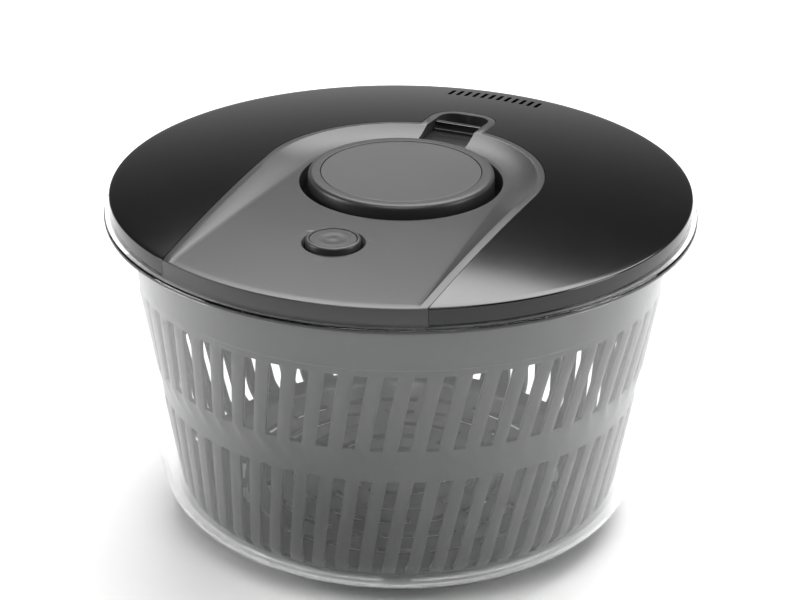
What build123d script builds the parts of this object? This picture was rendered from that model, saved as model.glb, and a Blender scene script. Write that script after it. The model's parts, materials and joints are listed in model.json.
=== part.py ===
from build123d import *
import math
import os

os.makedirs("parts", exist_ok=True)

# A hand-pumped salad spinner: clear bowl, spinning basket, and a lid that holds the drive.
# Origin on the table under the middle of the bowl, +Z up, the stop button towards -Y.

# ---- overall sizes ----
LID_R = 131.0  # lid, out to its edge
EDGE_H = 160.0  # table up to the edge of the lid
CROWN = 8.0  # rise of the lid from its edge to its middle
SKIRT_H = 8.7  # rim of the lid, from its edge down to the bowl
SKIN = 2.4  # wall of the moulded lid pieces
EDGE_ROUND = 0.8  # rounding of the lid's edge

# ---- clearances ----
RUN_GAP = 0.08  # radial, between a shaft and its bore
FREE_GAP = 0.5  # between pieces that pass each other
CUT_PAST = 1.0  # how far a cutter reaches past the face that it opens
CUT_HIGH = 10.0  # how far the lid's cutters reach above its crown
SEAM = 0.2  # between two skins that lie edge to edge

# ---- bowl ----
LIP_OVERHANG = 2.5  # how far the bowl's lip stands out past the lid
LIP_H = 2.5
LIP_ROUND = 1.0
NECK_INSET = 4.3  # bowl wall under the lip, inside the lid's edge
BOWL_WALL = 2.6
BELLY = 3.1  # how far the wall bows out past a straight line
BOWL_TAPER = 16.7  # neck radius less the radius above the bottom corner
CORNER_H = 21.7
CORNER_W = 41.0
FOOT_RING_W = 6.0
FOOT_RING_H = 2.4
FOOT_PROUD = 0.8  # how far the foot ring stands below the bowl
FOOT_ROUND = 0.64
PIVOT_R = 7.0
PIVOT_TIP_R = 3.5
PIVOT_H = 13.0

# ---- basket ----
BASKET_WALL = 2.2
BASKET_TOP_DROP = 14.0  # basket rim below the lid's edge
BASKET_TOP_GAP = 3.4  # basket rim to the bowl wall
BASKET_LOW_GAP = 5.4  # basket foot to the bowl wall
BASKET_LIFT = 9.4  # under the basket, down to the bowl's floor
BASKET_FOOT_ROUND = 12.0
RIM_FLARE = 1.2
RIM_FLARE_H = 20.0
SLOT_COUNT = 60
SLOT_W = 5.4
SLOT_LEAN = 9.0  # degrees
UPPER_SLOT_DROP = 37.0  # top of the upper slots below the lid's edge
UPPER_SLOT_H = 38.0
MID_BAND_H = 16.5
LOW_SLOT_FOOT = 3.5  # bottom of the lower slots above the basket's foot
DRIVE_RIB_COUNT = 8
DRIVE_RIB_W = 3.0
DRIVE_RIB_D = 1.2  # how far the ribs reach into the plate's rim
DRIVE_RIB_H = 16.0
DRIVE_RIB_DROP = 1.0  # top of a rib below the basket rim
SOCKET_WALL = 2.2
FLOOR_SLOT_W = 3.4
FLOOR_SLOT_L = 14.0
FLOOR_SLOT_PITCH = 13.0
FLOOR_SLOT_WEB = 5.0

# ---- panel, a raised frame around a sunken floor ----
PANEL_HALF_FRONT = 60.5  # half width where the panel meets the lid's edge
COLLAR_W = 18.9  # well edge out to the panel's round end
FLOOR_CROWN = 2.9
COLLAR_FLAT = 2.4  # flat rim around the well
FRAME_LAND = 3.5  # flat top of the frame, level with the lid
FRAME_STEPS = 6  # spans that the frame's slope is drawn in
SLOPE_FRONT = 1.4  # sideways run of the slope for each millimetre of climb, at the lid's edge

# ---- knob and its drive ----
KNOB_R = 42.0
KNOB_GAP = 3.6
KNOB_PROUD = 7.4  # knob top above the lid's edge
KNOB_TRAVEL = 24.0
KNOB_WALL = 2.2
KNOB_ROUND = 2.4
KNOB_OVERLAP = 4.0  # skirt still in the well when the knob is up
INLAY_R = 36.3
INLAY_T = 1.6
INLAY_DISH = 0.5
INLAY_DROP = 1 / 6  # rim of the inlay below the knob top
DISH_FLAT = 0.75  # share of a dish still left halfway out to its rim
PLUNGER_R = 10.6
PLUNGER_WALL = 2.0
TOWER_WALL = 2.2
SPRING_SEAT_R = 19.0
SPRING_SEAT_T = 1.6
TOWER_TOP_GAP = 1.2  # tower top to the spring seat
GUIDE_BUSH_H = 6.0
GUIDE_BUSH_WALL = 1.4
NUT_H = 6.0
SPINDLE_W = 11.0
SPINDLE_T = 5.0
SPINDLE_LEAD = 24.0  # knob travel for one turn of the spindle
NUT_GAP = 0.35
JOURNAL_R = 6.0
JOURNAL_LOW_R = 4.0
BUSH_WALL = 1.6
BUSH_FLANGE_T = 1.0
BUSH_FLANGE_W = 1.0  # bush flange past the spindle collar
COLLAR_R = 8.0
COLLAR_T = 1.5
SPRING_WIRE = 1.6
SPRING_TURNS = 9
SPRING_GAP = 1.6  # spring to the tower
DRUM_FLOOR_GAP = 6.0  # knob skirt to the drum floor
DRUM_FLANGE_W = 10.0
DRUM_FLANGE_T = 2.0

# ---- clutch ----
RATCHET_R = 20.0
RATCHET_WALL = 2.2
RATCHET_TEETH = 12
RATCHET_TOOTH = 1.8
RATCHET_H = 8.0
HUB_GAP = 1.2  # top of the clutch to the drum above it
CARRIER_R = 13.0
CARRIER_T = 1.5
CARRIER_HUB_R = 6.6
PAWL_T = 3.6
PAWL_COUNT = 2
PAWL_PIN_R = 1.0
PAWL_PIVOT_R = 10.4
PAWL_ROOT_R = 2.0
PAWL_TIP_R = 0.8
PAWL_SWEEP = 38.0  # degrees round the hub from a pawl's pin to its tip

# ---- drive plate ----
PLATE_T = 2.0
PLATE_DROP = 20.0  # plate's upper face below the lid's edge
PLATE_CUP_GAP = 3.4
PLATE_FIN_H = 5.0
PLATE_FIN_COUNT = 16
END_PLAY = 0.1
WASHER_R = 8.0
WASHER_T = 1.2

# ---- inner cover ----
COVER_T = 1.8
GASKET_T = 1.5
PLUG_H = 5.3
PLUG_WALL = 2.0
PLUG_GAP = 0.5

# ---- drain vents ----
VENT_COUNT = 12
VENT_W = 1.9
VENT_PITCH = 4.05
VENT_INSET = 6.5  # outer ends of the vents, in from the lid's edge
VENT_L = 9.0

# ---- stop button ----
BUTTON_SPACING = 15.5  # well edge to the bevel of the button hole
BUTTON_HOLE_R = 12.5
BUTTON_BEVEL = 1.4
BUTTON_PROUD = 2.3
BUTTON_TRAVEL = 2.5
BUTTON_INLAY_R = 10.4
BUTTON_INLAY_T = 1.4
BUTTON_DISH = 0.6
BUTTON_ROUND = 1.0
BRAKE_STEM_R = 4.0
BRAKE_PAD_R = 7.0
BRAKE_PAD_T = 2.0
BUTTON_SPRING_R = 7.4
BUTTON_SPRING_WIRE = 0.9
BUTTON_SPRING_TURNS = 4

# ---- lock slider ----
EAR_HALF = 16.0
EAR_REACH = 41.9  # well edge to the end of the ear
EAR_ROUND = 13.6
POCKET_HALF = 12.0
POCKET_REACH = 37.9
POCKET_FLOOR_DROP = 0.5  # floor of the pocket below the lid's edge
POCKET_ROUND = 7.0
RAIL_D = 1.3
SLIDER_TRAVEL = 6.5
SLIDER_T = 1.8
SLIDER_BACK = 27.0  # well edge to the back of the slider
SLIDER_RIDGE_Y = 24.6  # well edge to the middle of the ridge
SLIDER_RIDGE_T = 2.2
SLIDER_RIDGE_DROP = 0.4  # top of the ridge below the lid's crown
SLIDER_STEP_D = 4.0
SLIDER_STEP_H = 1.2
SLIDER_CORNER = 1.6
TONGUE_HALF = 8.0

# ---- fasteners ----
SCREW_R = 1.5
PILOT_GAP = 0.05  # radial, between a screw and its pilot hole
SCREW_HEAD_R = 2.9
SCREW_HEAD_H = 1.8
SCREW_HEAD_ROUND = 0.72
SCREW_RECESS_W = 0.75
SCREW_L = 5.5
BOSS_R = 3.4

COVER_SCREW_R = 100.0  # circle that the inner cover's screws stand on
SHELL_SCREW_ANGLES = (0, 45, 135, 180)
PANEL_SCREW_ANGLES = (-68, -112)
DRUM_SCREW_ANGLES = (45, 135, 225, 315)

# ---- derived places ----
WELL_R = KNOB_R + KNOB_GAP
PANEL_R = WELL_R + COLLAR_W
CROWN_R = (LID_R ** 2 + CROWN ** 2) / (2 * CROWN)
FLOOR_CROWN_R = (LID_R ** 2 + FLOOR_CROWN ** 2) / (2 * FLOOR_CROWN)
SKIRT_Z = EDGE_H - SKIRT_H
NECK_R = LID_R - NECK_INSET
BOWL_LOW_R = NECK_R - BOWL_TAPER
BASE_R = BOWL_LOW_R - CORNER_W
BOWL_FLOOR_Z = FOOT_PROUD + BOWL_WALL
KNOB_TOP_Z = EDGE_H + KNOB_PROUD
KNOB_UNDER_Z = KNOB_TOP_Z - KNOB_WALL - INLAY_T
COVER_Z = SKIRT_Z + GASKET_T
KNOB_SKIRT_Z = COVER_Z + KNOB_OVERLAP - KNOB_TRAVEL
DRUM_FLOOR_Z = KNOB_SKIRT_Z - DRUM_FLOOR_GAP
DRUM_R = WELL_R + SKIN
TOWER_R = PLUNGER_R + FREE_GAP + TOWER_WALL
TOWER_TOP_Z = KNOB_UNDER_Z - SPRING_SEAT_T - TOWER_TOP_GAP
COLLAR_TOP_Z = DRUM_FLOOR_Z + BUSH_FLANGE_T + COLLAR_T
PLUNGER_FOOT_Z = COLLAR_TOP_Z + FREE_GAP
SPRING_R = TOWER_R + SPRING_GAP + SPRING_WIRE / 2
HUB_TOP_Z = DRUM_FLOOR_Z - SKIN - HUB_GAP
HUB_FLOOR_Z = HUB_TOP_Z - RATCHET_H
PLATE_TOP_Z = EDGE_H - PLATE_DROP
BUTTON_Y = -(WELL_R + BUTTON_SPACING + BUTTON_HOLE_R + BUTTON_BEVEL)
COVER_TOP_Z = COVER_Z + COVER_T
POCKET_FLOOR_Z = EDGE_H - POCKET_FLOOR_DROP
DRUM_SCREW_R = DRUM_R + DRUM_FLANGE_W / 2
HIGH = EDGE_H + CROWN + CUT_HIGH
SLOPE_LOW_Z = EDGE_H - 2 * CUT_PAST
SLOPE_HIGH_Z = EDGE_H + CROWN + 2 * CUT_PAST


def crown_z(x, y, radius=CROWN_R, rise=CROWN):
    """Height of a shallow crowned surface over the point (x, y)."""
    return EDGE_H + rise - radius + math.sqrt(radius ** 2 - x ** 2 - y ** 2)


def floor_z(x, y):
    return crown_z(x, y, FLOOR_CROWN_R, FLOOR_CROWN)


def tube(outer, inner, low, high, at=(0, 0)):
    """An upright tube, or a disc where the inner radius is nothing."""
    body = Pos(at[0], at[1], (low + high) / 2) * Cylinder(outer, high - low)
    if inner > 0:
        body -= Pos(at[0], at[1], (low + high) / 2) * Cylinder(inner, high - low + CUT_PAST)
    return body


def revolved(*edges):
    """A solid turned about Z from a closed outline in the XZ plane."""
    outline = make_face(Curve() + list(edges))
    return revolve(outline, Axis.Z)


def turned(points):
    """A solid turned about Z from straight-sided (radius, height) points."""
    return revolve(make_face(Polyline([(r, 0, z) for r, z in points], close=True)), Axis.Z)


def around(shape, count, start=0.0):
    return [Rot(0, 0, start + i * 360 / count) * shape for i in range(count)]


def save(name, shape):
    export_step(shape, f"parts/{name}.step")


# ---- bowl ----
def bowl_outline(inset, low, top):
    """Half section of the bowl, moved in by a wall, from its axis to its neck and back."""
    neck = (NECK_R - inset, 0, top)
    corner = (BOWL_LOW_R - inset, 0, FOOT_PROUD + CORNER_H)
    base = (BASE_R, 0, low)
    middle = ((neck[0] + corner[0]) / 2 + BELLY, 0, (SKIRT_Z + corner[2]) / 2)
    wall = ThreePointArc(neck, middle, corner)
    bottom = Spline(corner, base, tangents=[wall % 1, (-1, 0, 0)])
    axis = Line((0, 0, low), (0, 0, top))
    return [wall, bottom, Line(base, (0, 0, low)), axis, Line((0, 0, top), neck)]


def bowl():
    outer = revolved(*bowl_outline(0, FOOT_PROUD, SKIRT_Z))
    hollow = revolved(*bowl_outline(BOWL_WALL, BOWL_FLOOR_Z, SKIRT_Z))
    lip = tube(LID_R + LIP_OVERHANG, NECK_R - BOWL_WALL, SKIRT_Z - LIP_H, SKIRT_Z)
    lip = fillet(lip.edges().filter_by(GeomType.CIRCLE).group_by(SortBy.RADIUS)[-1], LIP_ROUND)
    root_z = BOWL_FLOOR_Z - CUT_PAST
    tip_z = BOWL_FLOOR_Z + PIVOT_H
    cone = [(PIVOT_R, BOWL_FLOOR_Z), (PIVOT_TIP_R, tip_z)]
    pivot = turned([(0, root_z), (PIVOT_R, root_z)] + cone + [(0, tip_z)])
    groove = tube(BASE_R, BASE_R - FOOT_RING_W, 0, FOOT_RING_H)
    return outer - hollow + lip + pivot - groove


def foot_ring():
    ring = tube(BASE_R - RUN_GAP, BASE_R - FOOT_RING_W + RUN_GAP, 0, FOOT_RING_H)
    return fillet(ring.edges().group_by(Axis.Z)[0], FOOT_ROUND)


# ---- basket ----
BASKET_TOP_Z = EDGE_H - BASKET_TOP_DROP
BASKET_FOOT_Z = BOWL_FLOOR_Z + BASKET_LIFT
BASKET_TOP_R = NECK_R - BOWL_WALL - BASKET_TOP_GAP
BASKET_LOW_R = BOWL_LOW_R - BOWL_WALL - BASKET_LOW_GAP
BASKET_NECK_Z = BASKET_TOP_Z - RIM_FLARE_H
BASKET_CORNER_Z = BASKET_FOOT_Z + BASKET_FOOT_ROUND
LOW_SLOT_Z = BASKET_FOOT_Z + LOW_SLOT_FOOT
UPPER_SLOT_Z = EDGE_H - UPPER_SLOT_DROP - UPPER_SLOT_H
MID_BAND_Z = UPPER_SLOT_Z - MID_BAND_H
PLATE_R = BASKET_TOP_R - RIM_FLARE - BASKET_WALL - FREE_GAP


def basket_outline(inset, low, top):
    """Half section of the basket, moved in by a wall."""
    rim = (BASKET_TOP_R - inset, 0, top)
    neck = (BASKET_TOP_R - RIM_FLARE - inset, 0, BASKET_NECK_Z)
    corner = (BASKET_LOW_R - inset, 0, BASKET_CORNER_Z)
    base = (BASKET_LOW_R - BASKET_FOOT_ROUND, 0, low)
    side = Line(neck, corner)
    bottom = Spline(corner, base, tangents=[side % 1, (-1, 0, 0)])
    return [Line(rim, neck), side, bottom, Line(base, (0, 0, low)), Line((0, 0, low), (0, 0, top)),
            Line((0, 0, top), rim)]


def basket_radius(z):
    """Outer radius of the basket's straight side at a height."""
    rise = (z - BASKET_CORNER_Z) / (BASKET_NECK_Z - BASKET_CORNER_Z)
    return BASKET_LOW_R + (BASKET_TOP_R - RIM_FLARE - BASKET_LOW_R) * rise


def wall_slot(low, high):
    """A slot cutter that leans round the basket as it climbs."""
    height = (high - low) / math.cos(math.radians(SLOT_LEAN))
    middle = (low + high) / 2
    cutter = Box(BASKET_FOOT_ROUND * 4, SLOT_W, height)
    return Pos(basket_radius(middle), 0, middle) * Rot(-SLOT_LEAN, 0, 0) * cutter


def floor_slots():
    """Rings of slots in the basket's floor, as many as the floor has room for."""
    cutters = []
    low = BASKET_FOOT_Z - CUT_PAST
    high = BASKET_FOOT_Z + BASKET_WALL + CUT_PAST
    radius = PIVOT_R + SOCKET_WALL + FLOOR_SLOT_PITCH
    while radius < BASKET_LOW_R - BASKET_FOOT_ROUND - FLOOR_SLOT_W:
        count = int(2 * math.pi * radius / (FLOOR_SLOT_L + FLOOR_SLOT_WEB))
        half = math.degrees(FLOOR_SLOT_L / radius) / 2
        ring = tube(radius + FLOOR_SLOT_W / 2, radius - FLOOR_SLOT_W / 2, low, high)
        spread = math.tan(math.radians(half)) * 2 * radius
        wedge = Polygon((0, 0), (2 * radius, -spread), (2 * radius, spread), align=None)
        slot = (ring & prism(wedge, low - CUT_PAST, high + CUT_PAST)).solids()[0]
        cutters += around(slot, count)
        radius += FLOOR_SLOT_PITCH
    return cutters


def basket():
    outer = revolved(*basket_outline(0, BASKET_FOOT_Z, BASKET_TOP_Z))
    hollow = revolved(*basket_outline(BASKET_WALL, BASKET_FOOT_Z + BASKET_WALL, BASKET_TOP_Z))
    body = outer - hollow
    rib_in = PLATE_R - DRIVE_RIB_D
    rib_depth = BASKET_TOP_R - rib_in
    rib = Pos(rib_in + rib_depth / 2, 0, BASKET_TOP_Z - DRIVE_RIB_H / 2 - DRIVE_RIB_DROP)
    rib = rib * Box(rib_depth, DRIVE_RIB_W, DRIVE_RIB_H) & outer
    body += around(rib, DRIVE_RIB_COUNT)
    socket_r = PIVOT_R + SOCKET_WALL
    socket_top = BOWL_FLOOR_Z + PIVOT_H + FREE_GAP
    body += tube(socket_r, 0, BASKET_FOOT_Z, socket_top + SOCKET_WALL)
    mouth_r = PIVOT_R + FREE_GAP
    end_r = PIVOT_TIP_R + FREE_GAP
    body -= turned([(0, BOWL_FLOOR_Z), (mouth_r, BOWL_FLOOR_Z), (end_r, socket_top), (0, socket_top)])
    slots = around(wall_slot(LOW_SLOT_Z, MID_BAND_Z), SLOT_COUNT)
    slots += around(wall_slot(UPPER_SLOT_Z, UPPER_SLOT_Z + UPPER_SLOT_H), SLOT_COUNT)
    return body - slots - floor_slots()


# ---- lid skins ----
def under_cap(rise):
    """Everything under a shallow crowned top, down to the bowl's rim and out to the lid's edge."""
    peak = (0, 0, EDGE_H + rise)
    edge = (LID_R, 0, EDGE_H)
    halfway = LID_R / 2
    sagitta_r = (LID_R ** 2 + rise ** 2) / (2 * rise)
    cap = ThreePointArc(peak, (halfway, 0, crown_z(halfway, 0, sagitta_r, rise)), edge)
    foot = (LID_R, 0, SKIRT_Z)
    return revolved(cap, Line(edge, foot), Line(foot, (0, 0, SKIRT_Z)), Line((0, 0, SKIRT_Z), peak))


def under_crown():
    """The lid's outer form, its edge rounded."""
    body = under_cap(CROWN)
    rims = body.edges().filter_by(GeomType.CIRCLE).filter_by(lambda edge: edge.is_closed)
    return fillet(rims.sort_by(Axis.Z)[-1], EDGE_ROUND)


def skin_of(body):
    """A body hollowed from below, leaving its top and its rim."""
    inner = Pos(0, 0, -SKIN) * body & tube(LID_R - SKIN, 0, 0, HIGH)
    return body - inner


def splay(front_half, radius):
    """Where a straight side from the lid's edge touches the panel's round end."""
    front_y = -math.sqrt(LID_R ** 2 - front_half ** 2)
    reach = math.hypot(front_half, front_y)
    angle = math.atan2(front_y, front_half) + math.acos(radius / reach)
    touch = (radius * math.cos(angle), radius * math.sin(angle))
    slope = (touch[0] - front_half) / (touch[1] - front_y)
    return touch, slope, front_y


def tongue_shape(front_half, radius):
    """A tongue from beyond the lid's edge to a round end about the knob."""
    touch, slope, front_y = splay(front_half, radius)
    far_y = -LID_R - CUT_HIGH
    far_x = front_half + slope * (far_y - front_y)
    sides = Polygon((-far_x, far_y), (far_x, far_y), touch, (-touch[0], touch[1]), align=None)
    return sides + Circle(radius)


def panel_shape(grow=0.0):
    ear_l = WELL_R + EAR_REACH + grow
    ear = Pos(0, ear_l / 2) * RectangleRounded(2 * (EAR_HALF + grow), ear_l, EAR_ROUND)
    return tongue_shape(PANEL_HALF_FRONT + grow, PANEL_R + grow) + ear


def prism(shape, low, high):
    return Pos(0, 0, low) * extrude(shape, high - low)


def side_x(y, front_half, radius):
    """Half width of a tongue shape at y, in front of the knob."""
    touch, slope, front_y = splay(front_half, radius)
    return front_half + slope * (y - front_y)


FLOOR_R = WELL_R + COLLAR_FLAT
FRAME_R = PANEL_R - FRAME_LAND
FRAME_FRONT = PANEL_HALF_FRONT - FRAME_LAND
SLOPE_BACK = (FRAME_R - FLOOR_R) / (crown_z(FRAME_R, 0) - floor_z(FLOOR_R, 0))


def slope_width(y, front_y):
    """How far the frame's slope runs sideways for each millimetre that it climbs."""
    return SLOPE_BACK + (SLOPE_FRONT - SLOPE_BACK) * y / front_y


def slope_at(inner, y, run):
    """Ends of the slope that passes the floor's edge, from below the floor to above the lid."""
    base = floor_z(inner, y)
    low = (inner - run * (base - SLOPE_LOW_Z), SLOPE_LOW_Z)
    high = (inner + run * (SLOPE_HIGH_Z - base), SLOPE_HIGH_Z)
    return low, high


def frame_opening():
    """Two cutters that open the frame around the sunken floor."""
    front_y = -math.sqrt(LID_R ** 2 - FRAME_FRONT ** 2)
    sections = []
    for i in range(FRAME_STEPS + 1):
        y = (front_y - 2 * EDGE_ROUND) * (1 - i / FRAME_STEPS)
        inner = side_x(y, FRAME_FRONT, FLOOR_R) if i < FRAME_STEPS else FLOOR_R
        low, high = slope_at(inner, y, slope_width(y, front_y))
        corners = [(low[0], y, low[1]), (high[0], y, high[1]), (-high[0], y, high[1]), (-low[0], y, low[1])]
        sections.append(make_face(Polyline(corners, close=True)))
    far_y = -LID_R - EDGE_ROUND
    front = [Pos(0, far_y - (front_y - 2 * EDGE_ROUND), 0) * sections[0], sections[0]]
    low, high = slope_at(FLOOR_R, 0, SLOPE_BACK)
    cone = turned([(0, low[1]), low, high, (0, high[1])])
    back = cone & Pos(0, LID_R, EDGE_H) * Box(2 * LID_R, 2 * LID_R, 2 * LID_R)
    return loft(front), loft(sections), back


def panel_top():
    """The panel's outer form: a frame level with the lid about a sunken floor."""
    outline = prism(panel_shape(), SKIRT_Z - CUT_PAST, HIGH)
    frame = under_crown() & outline
    for cutter in frame_opening():
        frame -= cutter
    floor = under_cap(FLOOR_CROWN) & outline & under_crown()
    return frame + floor


def boss(at, low):
    return tube(BOSS_R, 0, low, HIGH, at)


def pilot(at, low):
    return tube(SCREW_R + PILOT_GAP, 0, low - CUT_PAST, low + SCREW_L, at)


def on_circle(radius, angles):
    return [(radius * math.cos(math.radians(a)), radius * math.sin(math.radians(a))) for a in angles]


def vents(low, high):
    """The row of drain slots at the back of the lid."""
    cutters = []
    for i in range(VENT_COUNT):
        x = (i - (VENT_COUNT - 1) / 2) * VENT_PITCH
        y = math.sqrt((LID_R - VENT_INSET) ** 2 - x ** 2) - VENT_L / 2
        slot = Pos(x, y, low) * extrude(SlotOverall(VENT_L, VENT_W, rotation=90), high - low)
        cutters.append(slot)
    return cutters


def lid_shell():
    body = under_crown()
    shell = skin_of(body)
    for at in on_circle(COVER_SCREW_R, SHELL_SCREW_ANGLES):
        shell += boss(at, COVER_TOP_Z) & body
        shell -= pilot(at, COVER_TOP_Z)
    shell -= prism(panel_shape(SEAM), SKIRT_Z - CUT_PAST, HIGH)
    return shell - vents(COVER_TOP_Z, HIGH)


def pocket_shape(grow=0.0, reach=POCKET_REACH):
    length = WELL_R + reach + grow
    return Pos(0, length / 2) * RectangleRounded(2 * (POCKET_HALF + grow), length, POCKET_ROUND)


def lid_panel():
    top = panel_top()
    panel = skin_of(top)
    hole_r = BUTTON_HOLE_R
    button = (0, BUTTON_Y)
    button_top = floor_z(0, BUTTON_Y)
    panel += tube(DRUM_R, 0, COVER_Z, HIGH) & top
    panel += tube(hole_r + SKIN, 0, COVER_TOP_Z, HIGH, button) & top
    panel += prism(pocket_shape(SKIN + RAIL_D), POCKET_FLOOR_Z - SKIN, HIGH) & top
    for at in on_circle(COVER_SCREW_R, PANEL_SCREW_ANGLES):
        panel += boss(at, COVER_TOP_Z) & top
        panel -= pilot(at, COVER_TOP_Z)
    for at in on_circle(DRUM_SCREW_R, DRUM_SCREW_ANGLES):
        panel += boss(at, COVER_Z) & top
        panel -= pilot(at, COVER_Z)
    panel -= tube(WELL_R, 0, SKIRT_Z - CUT_PAST, HIGH)
    panel -= tube(hole_r, 0, SKIRT_Z, HIGH, button)
    rims = panel.edges().filter_by(lambda edge: edge.is_closed)
    mouth = rims.sort_by_distance((0, BUTTON_Y, button_top))[0]
    panel = chamfer(mouth, BUTTON_BEVEL)
    panel -= prism(pocket_shape(), POCKET_FLOOR_Z, HIGH)
    rail_l = WELL_R + SLIDER_BACK + SLIDER_TRAVEL + FREE_GAP
    rails = Box(2 * (POCKET_HALF + RAIL_D), rail_l, SLIDER_T + 3 * END_PLAY)
    return panel - Pos(0, rail_l / 2, POCKET_FLOOR_Z + SLIDER_T / 2 + END_PLAY) * rails


# ---- knob and plunger ----
def knob_cap():
    outer = tube(KNOB_R, 0, KNOB_SKIRT_Z, KNOB_TOP_Z)
    outer = fillet(outer.edges().group_by(Axis.Z)[-1], KNOB_ROUND)
    hollow = tube(KNOB_R - KNOB_WALL, 0, KNOB_SKIRT_Z - CUT_PAST, KNOB_UNDER_Z)
    recess = tube(INLAY_R, 0, KNOB_TOP_Z - INLAY_T, KNOB_TOP_Z + CUT_PAST)
    return outer - hollow - recess


def dished_disc(radius, low, rim, dish):
    """A disc whose top dips from its rim towards the middle."""
    middle_z = rim - dish
    top = ThreePointArc((0, 0, middle_z), (radius / 2, 0, rim - dish * DISH_FLAT), (radius, 0, rim))
    side = Line((radius, 0, rim), (radius, 0, low))
    return revolved(top, side, Line((radius, 0, low), (0, 0, low)), Line((0, 0, low), (0, 0, middle_z)))


def knob_inlay():
    return dished_disc(INLAY_R - SEAM, KNOB_TOP_Z - INLAY_T, KNOB_TOP_Z - INLAY_DROP, INLAY_DISH)


def plunger():
    stem = tube(PLUNGER_R, PLUNGER_R - PLUNGER_WALL, PLUNGER_FOOT_Z, KNOB_UNDER_Z)
    return stem + tube(SPRING_SEAT_R, PLUNGER_R - PLUNGER_WALL, KNOB_UNDER_Z - SPRING_SEAT_T, KNOB_UNDER_Z)


def twisted_bar(width, thick, low, high):
    """A flat bar twisted one turn in each lead, in step with every other such bar."""
    section = Pos(0, 0, low) * Rot(0, 0, low * 360 / SPINDLE_LEAD) * Rectangle(width, thick)
    turn = (high - low) * 360 / SPINDLE_LEAD
    return Solid.extrude_linear_with_rotation(section.face(), (0, 0, low), (0, 0, high - low), turn)


def drive_nut():
    body = tube(PLUNGER_R - PLUNGER_WALL, 0, PLUNGER_FOOT_Z, PLUNGER_FOOT_Z + NUT_H)
    low = PLUNGER_FOOT_Z - CUT_PAST
    high = PLUNGER_FOOT_Z + NUT_H + CUT_PAST
    return body - twisted_bar(SPINDLE_W + 2 * NUT_GAP, SPINDLE_T + 2 * NUT_GAP, low, high)


def spindle():
    top = PLUNGER_FOOT_Z + NUT_H + KNOB_TRAVEL + CUT_PAST
    foot = HUB_FLOOR_Z - PLATE_T - END_PLAY
    body = tube(JOURNAL_LOW_R, 0, foot, HUB_TOP_Z)
    body += tube(JOURNAL_R, 0, HUB_TOP_Z - CUT_PAST, DRUM_FLOOR_Z + BUSH_FLANGE_T)
    body += tube(COLLAR_R, 0, DRUM_FLOOR_Z + BUSH_FLANGE_T, COLLAR_TOP_Z)
    body += twisted_bar(SPINDLE_W, SPINDLE_T, COLLAR_TOP_Z, top)
    return body - tube(SCREW_R + PILOT_GAP, 0, foot - CUT_PAST, foot + SCREW_L)


def spindle_bush():
    bore = JOURNAL_R + RUN_GAP
    sleeve = tube(JOURNAL_R + BUSH_WALL, bore, DRUM_FLOOR_Z - SKIN, DRUM_FLOOR_Z)
    return sleeve + tube(COLLAR_R + BUSH_FLANGE_W, bore, DRUM_FLOOR_Z, DRUM_FLOOR_Z + BUSH_FLANGE_T)


def coil(radius, wire, turns, low, high):
    """A compression spring standing between two seats."""
    height = high - low - wire
    path = Helix(height / turns, height, radius, center=(0, 0, low + wire / 2))
    section = Plane(origin=path @ 0, z_dir=path % 0) * Circle(wire / 2)
    return sweep(section, path=path)


def return_spring():
    return coil(SPRING_R, SPRING_WIRE, SPRING_TURNS, DRUM_FLOOR_Z, KNOB_UNDER_Z - SPRING_SEAT_T)


def guide_bush():
    return tube(PLUNGER_R + GUIDE_BUSH_WALL, PLUNGER_R + RUN_GAP, TOWER_TOP_Z - GUIDE_BUSH_H, TOWER_TOP_Z)


def drive_housing():
    floor_low = DRUM_FLOOR_Z - SKIN
    body = tube(DRUM_R, WELL_R, floor_low, COVER_Z) + tube(DRUM_R, 0, floor_low, DRUM_FLOOR_Z)
    body += tube(DRUM_R + DRUM_FLANGE_W, WELL_R, COVER_Z - DRUM_FLANGE_T, COVER_Z)
    body += tube(TOWER_R, PLUNGER_R + FREE_GAP, DRUM_FLOOR_Z, TOWER_TOP_Z)
    body -= tube(PLUNGER_R + GUIDE_BUSH_WALL, 0, TOWER_TOP_Z - GUIDE_BUSH_H, TOWER_TOP_Z + CUT_PAST)
    body -= tube(JOURNAL_R + BUSH_WALL, 0, floor_low - CUT_PAST, DRUM_FLOOR_Z + CUT_PAST)
    for at in on_circle(DRUM_SCREW_R, DRUM_SCREW_ANGLES):
        body -= tube(SCREW_R + FREE_GAP, 0, COVER_Z - DRUM_FLANGE_T - CUT_PAST, COVER_Z + CUT_PAST, at)
    return body


# ---- clutch and drive plate ----
RATCHET_ROOT_R = RATCHET_R - RATCHET_WALL
RATCHET_TIP_R = RATCHET_ROOT_R - RATCHET_TOOTH
CARRIER_Z = HUB_FLOOR_Z + FREE_GAP
PAWL_Z = CARRIER_Z + CARRIER_T
PAWL_ANGLES = [i * 360 / PAWL_COUNT for i in range(PAWL_COUNT)]


def ratchet_ring():
    points = []
    for i in range(RATCHET_TEETH):
        angle = math.radians(i * 360 / RATCHET_TEETH)
        for radius in (RATCHET_TIP_R, RATCHET_ROOT_R):
            points.append((radius * math.cos(angle), radius * math.sin(angle)))
    bore = Polygon(*points, align=None)
    return prism(Circle(RATCHET_R - RUN_GAP) - bore, HUB_FLOOR_Z, HUB_TOP_Z)


def pawl_carrier():
    body = tube(CARRIER_R, 0, CARRIER_Z, CARRIER_Z + CARRIER_T)
    body += tube(CARRIER_HUB_R, 0, CARRIER_Z, HUB_TOP_Z - CUT_PAST)
    for at in on_circle(PAWL_PIVOT_R, PAWL_ANGLES):
        body -= tube(PAWL_PIN_R, 0, CARRIER_Z - CUT_PAST, CARRIER_Z + CARRIER_T + CUT_PAST, at)
    return body - tube(JOURNAL_LOW_R, 0, CARRIER_Z - CUT_PAST, HUB_TOP_Z)


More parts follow.
